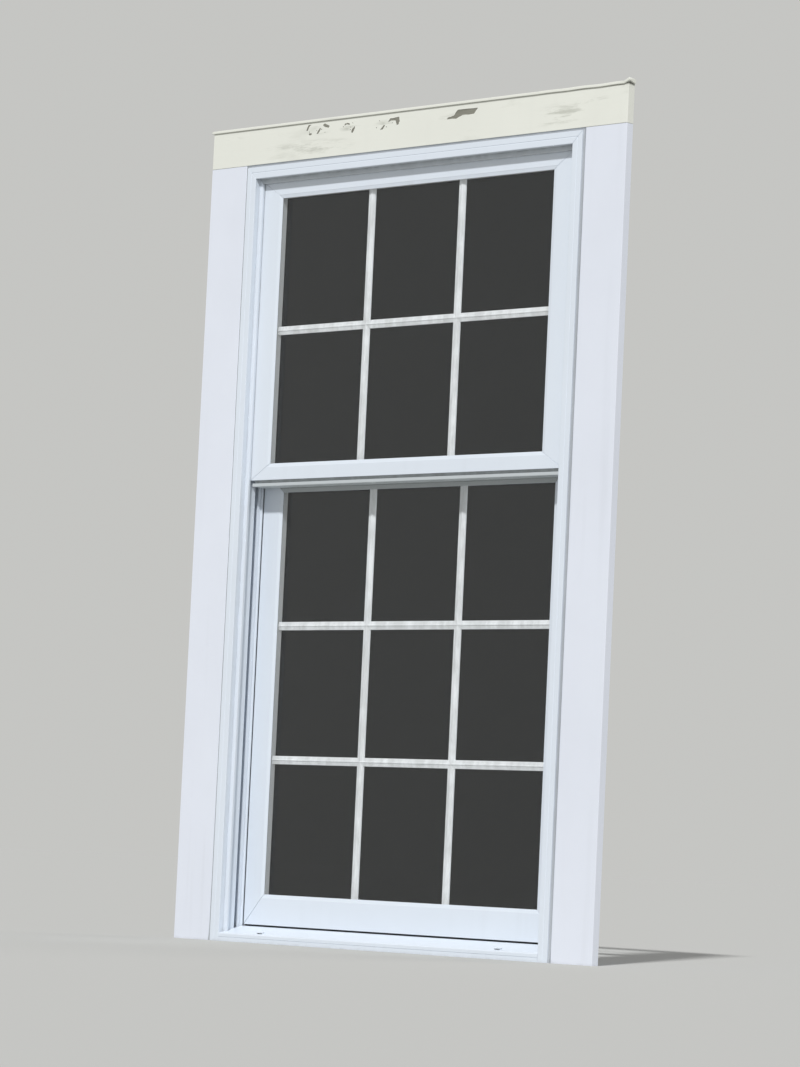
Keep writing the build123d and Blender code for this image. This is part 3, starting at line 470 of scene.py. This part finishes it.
def glass_finish(name, tint, index, waviness, room_shade=None, room_shade_from=0.0):
    """Sheet glass, slightly wavy, which lets the lamps' light pass.

    A painted shade of the unlit room behind makes the glass look nearly black from outside and
    leaves it clear from behind: it lies only where the glass is entered through the face in front
    of the given depth.
    """
    finish = Finish(name, tint, 0.0)
    if room_shade:
        outside = calculated(finish.tree, "LESS_THAN", along(finish.tree, "Y"), room_shade_from)
        geometry = add_node(finish.tree, "ShaderNodeNewGeometry")
        entered = calculated(finish.tree, "SUBTRACT", 1.0, geometry.outputs["Backfacing"])
        finish.blend(calculated(finish.tree, "MULTIPLY", outside, entered), room_shade)
    set_inputs(finish.shader, Transmission_Weight=1.0, IOR=index)
    waves = object_noise(finish.tree, 2.6, (1.0, 1.0, 0.7), detail=1.0)
    finish.bump(waves.outputs["Fac"], waviness)
    dust = object_noise(finish.tree, 240.0, detail=6.0, roughness=0.7)
    finish.gloss(dust.outputs["Fac"], 0.0, 0.02)
    finish.done()
    tree = finish.tree
    output = tree.nodes["Material Output"]
    clear = add_node(tree, "ShaderNodeBsdfTransparent")
    clear.inputs["Color"].default_value = (*tint, 1.0)
    path = add_node(tree, "ShaderNodeLightPath")
    mix = add_node(tree, "ShaderNodeMixShader")
    rays = (path.outputs["Is Shadow Ray"], path.outputs["Is Diffuse Ray"])
    joined(tree, calculated(tree, "MAXIMUM", *rays), mix.inputs[0])
    joined(tree, finish.shader.outputs[0], mix.inputs[1])
    joined(tree, clear.outputs[0], mix.inputs[2])
    joined(tree, mix.outputs[0], output.inputs["Surface"])
    return finish.material


vinyl = vinyl_finish("white vinyl", VINYL_WHITE, soiling_and_shade=0.55)
dusty_vinyl = vinyl_finish("dusty vinyl", DUSTY_VINYL, soiling_and_shade=0.8)
# Painted shade for the lower sash's top rail, where the upper sash's rail shades it
under_rail_shade_vinyl = vinyl_finish("vinyl in painted shade under the rail", UNDER_RAIL_SHADE_VINYL, soiling_and_shade=0.8)
# Painted shade for the faces of the frame head's rebate
rebate_shade_vinyl = vinyl_finish(
    "rebate vinyl in painted shade", REBATE_SHADE_VINYL, soiling_and_shade=0.92, reach=0.035, grime_and_shade=REBATE_SHADE
)
casing_paint = casing_finish()
head_paint = cream_paint(
    "head casing paint", checks_amount=0.30, grey_amount=0.40,
    joint_height=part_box("head_casing")[1].z,
)
cap_paint = cream_paint("cap paint", checks_amount=0.55, grey_amount=0.60)
bare_wood = bare_wood_finish()
sealant = sealant_finish()
clear_glass = glass_finish("outer pane glass", GLASS_TINT, index=1.35, waviness=0.0006)
# Inner panes carry the painted shade of the unlit room when seen from outside
inner_glass = {
    sash: glass_finish(
        sash + " inner pane glass", GLASS_TINT, index=1.12, waviness=0.0005, room_shade=PANE_ROOM_SHADE,
        room_shade_from=sum(corner.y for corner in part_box(sash + "_inner_pane")) / 2,
    )
    for sash in ("upper", "lower")
}
bar_enamel = enamel_finish("grille enamel", BAR_WHITE, roughness=0.4)
lock_enamel = enamel_finish("lock enamel", LOCK_WHITE, roughness=0.32)
latch_plastic = enamel_finish("latch plastic", LATCH_WHITE, roughness=0.42)
spacer_metal = enamel_finish("spacer metal", SPACER_GREY, roughness=0.45)
zinc_steel = metal_finish("zinc plated steel", ZINC, roughness=0.36, scale=300.0)
tube_metal = metal_finish(
    "drawn aluminium", DRAWN_ALUMINIUM, roughness=0.32, scale=500.0, stretch=(1.0, 1.0, 0.02)
)
pile = dull_finish(
    "grey pile", PILE_GREY, roughness=0.95, scale=1500.0, relief=0.0006, stretch=(1.0, 1.0, 0.25)
)
rubber = dull_finish("seal rubber", SEAL_BLACK, roughness=0.6, scale=300.0, relief=0.00005)
shoe_plastic = dull_finish("shoe plastic", SHOE_BLACK, roughness=0.5, scale=380.0, relief=0.00004)

# What each piece is finished in: the first part of a name that fits decides
FINISHES = (
    ("casing_", casing_paint),
    ("head_casing", head_paint),
    ("head_cap", cap_paint),
    ("perimeter_sealant", sealant),
    ("balance_tube_screws", zinc_steel),
    ("balance_tube", tube_metal),
    ("upper_balance_rod", zinc_steel),
    ("lower_balance_rod", zinc_steel),
    ("upper_balance_shoe", shoe_plastic),
    ("lower_balance_shoe", shoe_plastic),
    ("upper_pivot_bars", zinc_steel),
    ("lower_pivot_bars", zinc_steel),
    ("upper_rail_sweep", dusty_vinyl),
    ("upper_outer_pane", clear_glass),
    ("lower_outer_pane", clear_glass),
    ("upper_inner_pane", inner_glass["upper"]),
    ("lower_inner_pane", inner_glass["lower"]),
    ("upper_spacer", spacer_metal),
    ("lower_spacer", spacer_metal),
    ("upper_grille", bar_enamel),
    ("lower_grille", bar_enamel),
    ("upper_setting_blocks", rubber),
    ("lower_setting_blocks", rubber),
    ("upper_weatherstrips", pile),
    ("lower_weatherstrips", pile),
    ("lower_bottom_seal", rubber),
    ("upper_tilt_latch", latch_plastic),
    ("lower_tilt_latch", latch_plastic),
    ("lock_screws", zinc_steel),
    ("keeper_screws", zinc_steel),
    ("lock_", lock_enamel),
    ("", vinyl),
)

for name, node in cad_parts.items():
    finish = next(material for start, material in FINISHES if name.startswith(start))
    for slot in node.material_slots:
        slot.material = finish


# Making the pieces

# In metres: nearer than the first, two points are one; nearer than the second, they're level
TOUCHING = 1e-6
NEARBY = 1e-5


def object_from(mesh_data, name, materials):
    """Makes an object from a bmesh, with its finishes in their order."""
    mesh = bpy.data.meshes.new(name)
    mesh_data.to_mesh(mesh)
    mesh_data.free()
    for material in materials:
        mesh.materials.append(material)
    made = bpy.data.objects.new(name, mesh)
    bpy.context.scene.collection.objects.link(made)
    return made


def fitted(piece, body, slot, *replaced):
    """Puts a finished piece on its body and hides the nodes that it stands for; its slot, the name
    of its finish, is not used.
    """
    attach(piece, body)
    if replaced:
        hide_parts(*replaced)


def box_mesh(low, high):
    """A closed block between two corners, as a bmesh."""
    block = bmesh.new()
    bmesh.ops.create_cube(block, size=1.0)
    bmesh.ops.scale(block, vec=high - low, verts=block.verts)
    bmesh.ops.translate(block, vec=(low + high) / 2, verts=block.verts)
    return block


def carve(piece, cutter):
    """Takes a cutter's shape out of a piece that isn't on its body yet, and removes the cutter."""
    cut = piece.modifiers.new("cut", "BOOLEAN")
    cut.operation = "DIFFERENCE"
    cut.solver = "EXACT"
    cut.object = cutter
    evaluated = piece.evaluated_get(bpy.context.evaluated_depsgraph_get())
    piece.data = bpy.data.meshes.new_from_object(evaluated)
    piece.modifiers.clear()
    bpy.data.objects.remove(cutter)


# Paint chips in the head casing: each one's middle on its face, then its outline from there in
# chip units
CHIPS = (
    ((-0.3005, 1.7730), ((-8, -7), (-4, -7), (1, 1), (6, 5), (-2, 5))),
    ((-0.2500, 1.7712), ((-9, 3), (-4, -1), (4, -3), (7, -5), (11, -1), (-3, 6))),
    ((-0.2715, 1.7625), ((-6, -6), (-1, -6), (5, 1), (6, 7), (1, 3))),
    ((-0.2965, 1.7580), ((-4, -2), (3, -3), (5, 1), (-2, 2))),
    ((-0.1870, 1.7685), ((-8, -1), (0, 1), (8, -1), (7, 2), (0, 4), (-7, 2))),
    ((-0.1700, 1.7565), ((-5, -6), (0, -7), (6, 2), (6, 7), (-1, 2))),
    ((-0.0832, 1.7522), ((-7, -3), (2, -3), (7, 5), (4, 6), (-1, 1))),
    (
        (-0.0510, 1.7668),
        ((-17, -3), (-8, -1), (6, -2), (9, -12), (14, -11), (17, -3), (15, 5), (-10, 4)),
    ),
    (
        (0.1530, 1.7640),
        (
            (-51, -11), (-35, -10), (-26, -11), (-8, -5), (24, -5), (34, 7), (-22, 8),
            (-33, -4), (-50, -7),
        ),
    ),
)
# Flecks round the chips: each cluster's middle on the face and its reach along X
FLECK_CLUSTERS = (((-0.275, 1.766), 0.030), ((-0.180, 1.763), 0.022), ((-0.075, 1.760), 0.026))
FLECKS_EACH = 5
CHIP_SEED = 9
FLECK_SIZES = (0.7, 1.7)
FLECK_SPREAD = 0.009
FLECK_ANGLES = (20, 85, 160, 215, 300)
FLECK_TURN = 14
CHIP_UNIT = 0.001
CHIP_RAGGED = 0.0005
CHIP_SHARE = 0.07
CHIP_STEPS = 4


def chip_cutter(middle, outline, face_y, ragged):
    """A ragged flat prism that takes a chip out of the paint film and leaves bare wood in it."""
    cutter = bmesh.new()
    corners = []
    points = [Vector(point) * CHIP_UNIT for point in outline]
    for start, end in zip(points, points[1:] + points[:1]):
        run = end - start
        across = Vector((-run.y, run.x)).normalized()
        reach = min(CHIP_RAGGED, CHIP_SHARE * run.length)
        for step in range(CHIP_STEPS):
            place = start + run * step / CHIP_STEPS + across * ragged.uniform(-reach, reach)
            corner = (middle[0] + place.x, face_y - FILM_DEPTH, middle[1] + place.y)
            corners.append(cutter.verts.new(corner))
    front = cutter.faces.new(corners)
    deep = bmesh.ops.extrude_face_region(cutter, geom=[front])
    moved = [item for item in deep["geom"] if isinstance(item, bmesh.types.BMVert)]
    bmesh.ops.translate(cutter, vec=(0, 2 * FILM_DEPTH, 0), verts=moved)
    bmesh.ops.recalc_face_normals(cutter, faces=cutter.faces)
    for face in cutter.faces:
        face.material_index = 1
    return cutter


def head_casing_board():
    """The head casing with its paint film chipped through to the wood."""
    low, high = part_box("head_casing")
    board = box_mesh(low, high)
    front = [
        edge for edge in board.edges if all(vert.co.y < low.y + TOUCHING for vert in edge.verts)
    ]
    bmesh.ops.bevel(
        board, geom=front, offset=BOARD_EDGE, affect="EDGES", segments=3, profile=0.5, material=-1
    )
    finishes = (head_paint, bare_wood)
    piece = object_from(board, "head_casing_board", finishes)
    ragged = random.Random(CHIP_SEED)
    flecks = []
    for (x, z), reach in FLECK_CLUSTERS:
        for _ in range(FLECKS_EACH):
            across = ragged.uniform(-reach, reach)
            middle = (x + across, z + ragged.uniform(-FLECK_SPREAD, FLECK_SPREAD))
            turns = [
                math.radians(angle + ragged.uniform(-FLECK_TURN, FLECK_TURN))
                for angle in FLECK_ANGLES
            ]
            radii = [ragged.uniform(*FLECK_SIZES) for _ in turns]
            outline = [(r * math.cos(turn), r * math.sin(turn)) for r, turn in zip(radii, turns)]
            flecks.append((middle, outline))
    for middle, outline in (*CHIPS, *flecks):
        carve(piece, object_from(chip_cutter(middle, outline, low.y, ragged), "chip", finishes))
    fitted(piece, "frame", "head_paint", "head_casing")


# Welded corners, sealant and cap: copies of the CAD pieces with the marks of work and weather.
# Lengths are in metres; the flat angle is in radians and the sharp one in degrees.
FLAT_ANGLE = 0.01
SHARP_ANGLE = 20
WELD_GROOVE = 0.0008
MITRE_LEAN = 0.1
WELDED = {
    "frame": ("frame_head", "frame_jamb_left", "frame_jamb_right"),
    "upper_sash": ("upper_top_rail", "upper_bottom_rail", "upper_stile_left", "upper_stile_right"),
    "lower_sash": ("lower_top_rail", "lower_bottom_rail", "lower_stile_left", "lower_stile_right"),
}
FACING = 0.5
REBATE_START = 0.004
LONG_EDGE = 0.25
EASED_EDGE = 0.0007
EASED_DEPTH = 0.010
LIP_WEAR = 0.0018
LIP_ROUND = 0.0009
LIP_RUN = 0.5
BEAD_STEP = 0.015
BEAD_LUMP = 0.0006
BEAD_FINENESS = 45
BEAD_TAIL = 0.030
BEAD_TAIL_DEPTH = 0.003
CAP_STEP = 0.008
CAP_WORN_TOP = 0.0035
CAP_WORN_FRONT = 0.0015
CAP_RIPPLE = 0.0012
CAP_RIPPLE_RUN = 0.35
CAP_RIPPLE_RATE = 70
CAP_CURL = 0.007
CAP_CURL_RUN = 0.014


def node_copy(name):
    """A CAD piece where it stands, as a bmesh with its flat faces whole again."""
    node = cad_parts[name]
    copy = bmesh.new()
    copy.from_mesh(node.data)
    bmesh.ops.transform(copy, matrix=node.matrix_world, verts=copy.verts)
    bmesh.ops.remove_doubles(copy, verts=copy.verts, dist=TOUCHING)
    bmesh.ops.dissolve_limit(copy, angle_limit=FLAT_ANGLE, verts=copy.verts, edges=copy.edges)
    return copy


def sliced(copy, axis, start, end, step):
    """Cuts a mesh across an axis at even steps, so that it can bend."""
    for index in range(1, int((end - start) / step)):
        geometry = [*copy.verts, *copy.edges, *copy.faces]
        place = axis * (start + step * index)
        bmesh.ops.bisect_plane(copy, geom=geometry, plane_co=place, plane_no=axis, dist=TOUCHING)


def ease(copy, depth, size):
    """Rounds a mesh's long edges in front of a depth, as an extruded or painted edge is."""
    edges = []
    for edge in copy.edges:
        long_enough = edge.calc_length() > LONG_EDGE and len(edge.link_faces) == 2
        if long_enough and max(vert.co.y for vert in edge.verts) < depth:
            if edge.calc_face_angle() > math.radians(SHARP_ANGLE):
                edges.append(edge)
    bmesh.ops.bevel(
        copy, geom=edges, offset=size, affect="EDGES", segments=2, profile=0.5, material=-1,
        clamp_overlap=True,
    )


def welded(name, body):
    """A rail, stile or frame side with the shallow groove of its cleaned corner welds."""
    copy = node_copy(name)
    front_y = min(vert.co.y for vert in copy.verts)
    mitres = {
        face for face in copy.faces
        if min(abs(face.normal.x), abs(face.normal.z)) > MITRE_LEAN
    }
    seams = [edge for edge in copy.edges if sum(face in mitres for face in edge.link_faces) == 1]
    bmesh.ops.bevel(
        copy, geom=seams, offset=WELD_GROOVE, affect="EDGES", segments=1, profile=0.5, material=-1
    )
    ease(copy, front_y + EASED_DEPTH, EASED_EDGE)
    low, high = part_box(name)
    for vert in copy.verts:
        vert.co = [min(max(vert.co[axis], low[axis]), high[axis]) for axis in range(3)]
    finishes = (vinyl, under_rail_shade_vinyl, rebate_shade_vinyl)
    for face in copy.faces:
        behind = face.calc_center_median().y > front_y + REBATE_START
        # The front of the lower sash's top rail gets painted shade, under the upper sash's rail
        if name == "lower_top_rail" and face.normal.y < -FACING:
            face.material_index = finishes.index(under_rail_shade_vinyl)
        # Faces of the head's rebate that face front or down, behind its front face, get painted
        # shade
        if name == "frame_head" and behind and min(face.normal.y, face.normal.z) < -FACING:
            face.material_index = finishes.index(rebate_shade_vinyl)
    piece = object_from(copy, name + "_welded", finishes)
    fitted(piece, body, "vinyl", name)


def eased_casing(name):
    """A side casing with its front edges rounded."""
    board = node_copy(name)
    front_y = min(vert.co.y for vert in board.verts)
    ease(board, front_y + BOARD_EDGE, BOARD_EDGE)
    fitted(object_from(board, name + "_board", (casing_paint,)), "frame", "casing_paint", name)


def lip_strip():
    """The strip under the upper sash, its lip rounded and worn lower so that its groove shows."""
    low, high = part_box("upper_rail_sweep")
    strip = node_copy("upper_rail_sweep")
    front = [vert for vert in strip.verts if vert.co.y < low.y + LIP_WEAR]
    lip_top = max(vert.co.z for vert in front)
    for vert in strip.verts:
        if abs(vert.co.z - lip_top) < NEARBY:
            vert.co.z -= LIP_WEAR
    edges = [edge for edge in strip.edges if all(vert in front for vert in edge.verts)]
    edges = [edge for edge in edges if abs(edge.verts[0].co.x - edge.verts[1].co.x) > LIP_RUN]
    bmesh.ops.bevel(
        strip, geom=edges, offset=LIP_ROUND, affect="EDGES", segments=2, profile=0.5, material=-1
    )
    piece = object_from(strip, "lip_strip", (dusty_vinyl,))
    fitted(piece, "upper_sash", "vinyl", "upper_rail_sweep")


def sealant_bead():
    """The sealant round the frame, lumpy from the finger, with thick tails at its lower ends."""
    low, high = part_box("perimeter_sealant")
    bead = node_copy("perimeter_sealant")
    sliced(bead, Vector((0, 0, 1)), low.z, high.z, BEAD_STEP)
    sliced(bead, Vector((1, 0, 0)), low.x, high.x, BEAD_STEP)
    for vert in bead.verts:
        if vert.co.y < (low.y + high.y) / 2:
            lump = noise.noise(vert.co * BEAD_FINENESS) * BEAD_LUMP
            tail = max(0.0, 1 - (vert.co.z - low.z) / BEAD_TAIL)
            vert.co.y += lump - BEAD_TAIL_DEPTH * tail * tail
    bmesh.ops.recalc_face_normals(bead, faces=bead.faces)
    fitted(object_from(bead, "sealant_bead", (sealant,)), "frame", "sealant", "perimeter_sealant")


def rippled_cap():
    """The thin cap, rippled towards its right end, with its front corner curled up there."""
    low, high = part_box("head_cap")
    cap = node_copy("head_cap")
    sliced(cap, Vector((1, 0, 0)), low.x, high.x, CAP_STEP)
    for vert in cap.verts:
        depth = (high.y - vert.co.y) / (high.y - low.y)
        if vert.co.z > (low.z + high.z) / 2:
            vert.co.z -= CAP_WORN_TOP * depth
        if depth > 0.5:
            vert.co.y += CAP_WORN_FRONT
        start = high.x - CAP_RIPPLE_RUN
        share = max(0.0, (vert.co.x - start) / CAP_RIPPLE_RUN)
        wave = 0.5 + 0.5 * math.sin(vert.co.x * CAP_RIPPLE_RATE)
        vert.co.z += CAP_RIPPLE * share * depth * wave
        curl = max(0.0, (vert.co.x - high.x + CAP_CURL_RUN) / CAP_CURL_RUN)
        vert.co.z += CAP_CURL * curl * curl * depth * depth
    fitted(object_from(cap, "rippled_cap", (cap_paint,)), "frame", "cap_paint", "head_cap")


# Pan-head screws: a domed head turned on its axis, with a cross recess, on a plain shank
PAN_PROFILE = ((0.0, 1.0), (0.35, 0.97), (0.68, 0.84), (0.90, 0.60), (1.0, 0.25), (0.97, 0.0))
RECESS_REACH = 0.52
RECESS_WIDTH = 0.17
RECESS_DEPTH = 0.55
RECESS_TURNS = (25, 115)
SCREW_SEGMENTS = 24


def pan_head(centre, radius, height, shank_radius, shank_low):
    """One screw as a bmesh: head profile and shank spun about its upright axis."""
    points = [(share * radius, centre.z + rise * height) for share, rise in PAN_PROFILE]
    points += [(shank_radius, centre.z), (shank_radius, shank_low), (0.0, shank_low)]
    screw = bmesh.new()
    ring = [screw.verts.new((centre.x + reach, centre.y, z)) for reach, z in points]
    edges = [screw.edges.new(pair) for pair in zip(ring, ring[1:])]
    bmesh.ops.spin(
        screw, geom=[*ring, *edges], cent=centre, axis=(0, 0, 1), angle=math.tau,
        steps=SCREW_SEGMENTS, use_merge=True,
    )
    bmesh.ops.remove_doubles(screw, verts=screw.verts, dist=TOUCHING)
    bmesh.ops.recalc_face_normals(screw, faces=screw.faces)
    return screw


def recessed_screws(name, body):
    """The screws of the locks or keepers, each with a cross recess cut in its head."""
    low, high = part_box(name)
    heads = node_copy(name)
    crown = high.z
    tops = [
        face for face in heads.faces
        if face.normal.z > FACING and face.calc_center_median().z > crown - NEARBY
    ]
    centres = [face.calc_center_median() for face in tops]
    radius = max((vert.co - centres[0]).length for vert in tops[0].verts)
    under = sorted({round(vert.co.z, 6) for vert in heads.verts})[-2]
    foot = [vert for vert in heads.verts if vert.co.z < low.z + NEARBY]
    shank_radius = min((vert.co.xy - centres[0].xy).length for vert in foot)
    height = crown - under
    heads.free()
    group = bmesh.new()
    for middle in centres:
        seat = Vector((middle.x, middle.y, under))
        head = pan_head(seat, radius, height, shank_radius, low.z)
        screw = object_from(head, "screw", (zinc_steel,))
        for turn in RECESS_TURNS:
            bar = box_mesh(
                Vector((-RECESS_REACH * radius, -RECESS_WIDTH * radius, -RECESS_DEPTH * height)),
                Vector((RECESS_REACH * radius, RECESS_WIDTH * radius, height)),
            )
            turned = Matrix.Rotation(math.radians(turn), 3, "Z")
            bmesh.ops.rotate(bar, matrix=turned, verts=bar.verts)
            bmesh.ops.translate(bar, vec=(middle.x, middle.y, crown), verts=bar.verts)
            carve(screw, object_from(bar, "recess", (zinc_steel,)))
        group.from_mesh(screw.data)
        bpy.data.objects.remove(screw)
    fitted(object_from(group, name + "_recessed", (zinc_steel,)), body, "zinc_steel", name)


head_casing_board()
recessed_screws("lock_screws", "lower_sash")
recessed_screws("keeper_screws", "upper_sash")
for body, names in WELDED.items():
    for name in names:
        welded(name, body)
eased_casing("casing_left")
eased_casing("casing_right")
lip_strip()
sealant_bead()
rippled_cap()


# Studio: a pale floor that the window stands on, a sunlike key from the front and above, and a weak
# fill from behind

def pale_floor():
    """A wide pale floor that the window stands on."""
    floor_mesh = bmesh.new()
    bmesh.ops.create_grid(floor_mesh, x_segments=1, y_segments=1, size=FLOOR_HALF)
    mesh = bpy.data.meshes.new("studio_floor")
    floor_mesh.to_mesh(mesh)
    floor_mesh.free()
    floor = bpy.data.objects.new("studio_floor", mesh)
    bpy.context.scene.collection.objects.link(floor)
    finish = Finish("studio floor", FLOOR_COLOUR, 1.0)
    set_inputs(finish.shader, Specular_IOR_Level=0.0)
    mesh.materials.append(finish.done())


def soft_lamp(name, strength, azimuth, elevation, spread):
    """A distant soft lamp; azimuth 0 is straight in front of the window, 90 on its right."""
    lamp = bpy.data.lights.new(name, "SUN")
    lamp.energy = strength
    lamp.angle = math.radians(spread)
    holder = bpy.data.objects.new(name, lamp)
    bpy.context.scene.collection.objects.link(holder)
    turn = math.radians(azimuth)
    rise = math.radians(elevation)
    level = math.cos(rise)
    towards = Vector((math.sin(turn) * level, -math.cos(turn) * level, math.sin(rise)))
    holder.rotation_euler = towards.to_track_quat("Z", "Y").to_euler()


def studio_world():
    """Even ambient light; the background shows as a plain pale tone to camera, gloss and glass."""
    world = bpy.data.worlds.new("studio")
    bpy.context.scene.world = world
    world.use_nodes = True
    tree = world.node_tree
    tree.nodes.clear()
    path = add_node(tree, "ShaderNodeLightPath")
    seen = calculated(tree, "MAXIMUM", path.outputs["Is Camera Ray"], path.outputs["Is Glossy Ray"])
    seen = calculated(tree, "MAXIMUM", seen, path.outputs["Is Transmission Ray"])
    light = add_node(tree, "ShaderNodeBackground")
    light.inputs["Color"].default_value = (1.0, 1.0, 1.0, 1.0)
    light.inputs["Strength"].default_value = AMBIENT
    shown = add_node(tree, "ShaderNodeBackground")
    shown.inputs["Color"].default_value = (*BACKGROUND, 1.0)
    shown.inputs["Strength"].default_value = 1.0
    mix = add_node(tree, "ShaderNodeMixShader")
    output = add_node(tree, "ShaderNodeOutputWorld")
    joined(tree, seen, mix.inputs[0])
    joined(tree, light.outputs[0], mix.inputs[1])
    joined(tree, shown.outputs[0], mix.inputs[2])
    joined(tree, mix.outputs[0], output.inputs["Surface"])


def photograph_camera():
    """The camera at the photograph's place, looking at the middle of the window."""
    data = bpy.data.cameras.new("camera")
    data.lens = CAMERA_LENS
    data.sensor_width = SENSOR_WIDTH
    data.clip_end = FARTHEST_SEEN
    camera = bpy.data.objects.new("camera", data)
    bpy.context.scene.collection.objects.link(camera)
    forward = (CAMERA_AIM - CAMERA_PLACE).normalized()
    right = forward.cross(CAMERA_UP).normalized()
    up = right.cross(forward)
    turn = Matrix((right, up, -forward)).transposed()
    camera.matrix_world = Matrix.Translation(CAMERA_PLACE) @ turn.to_4x4()
    bpy.context.scene.camera = camera


pale_floor()
soft_lamp("key", KEY_STRENGTH, *KEY_PLACE)
soft_lamp("fill", FILL_STRENGTH, *FILL_PLACE)
studio_world()
photograph_camera()
bpy.context.scene.view_settings.view_transform = "Standard"
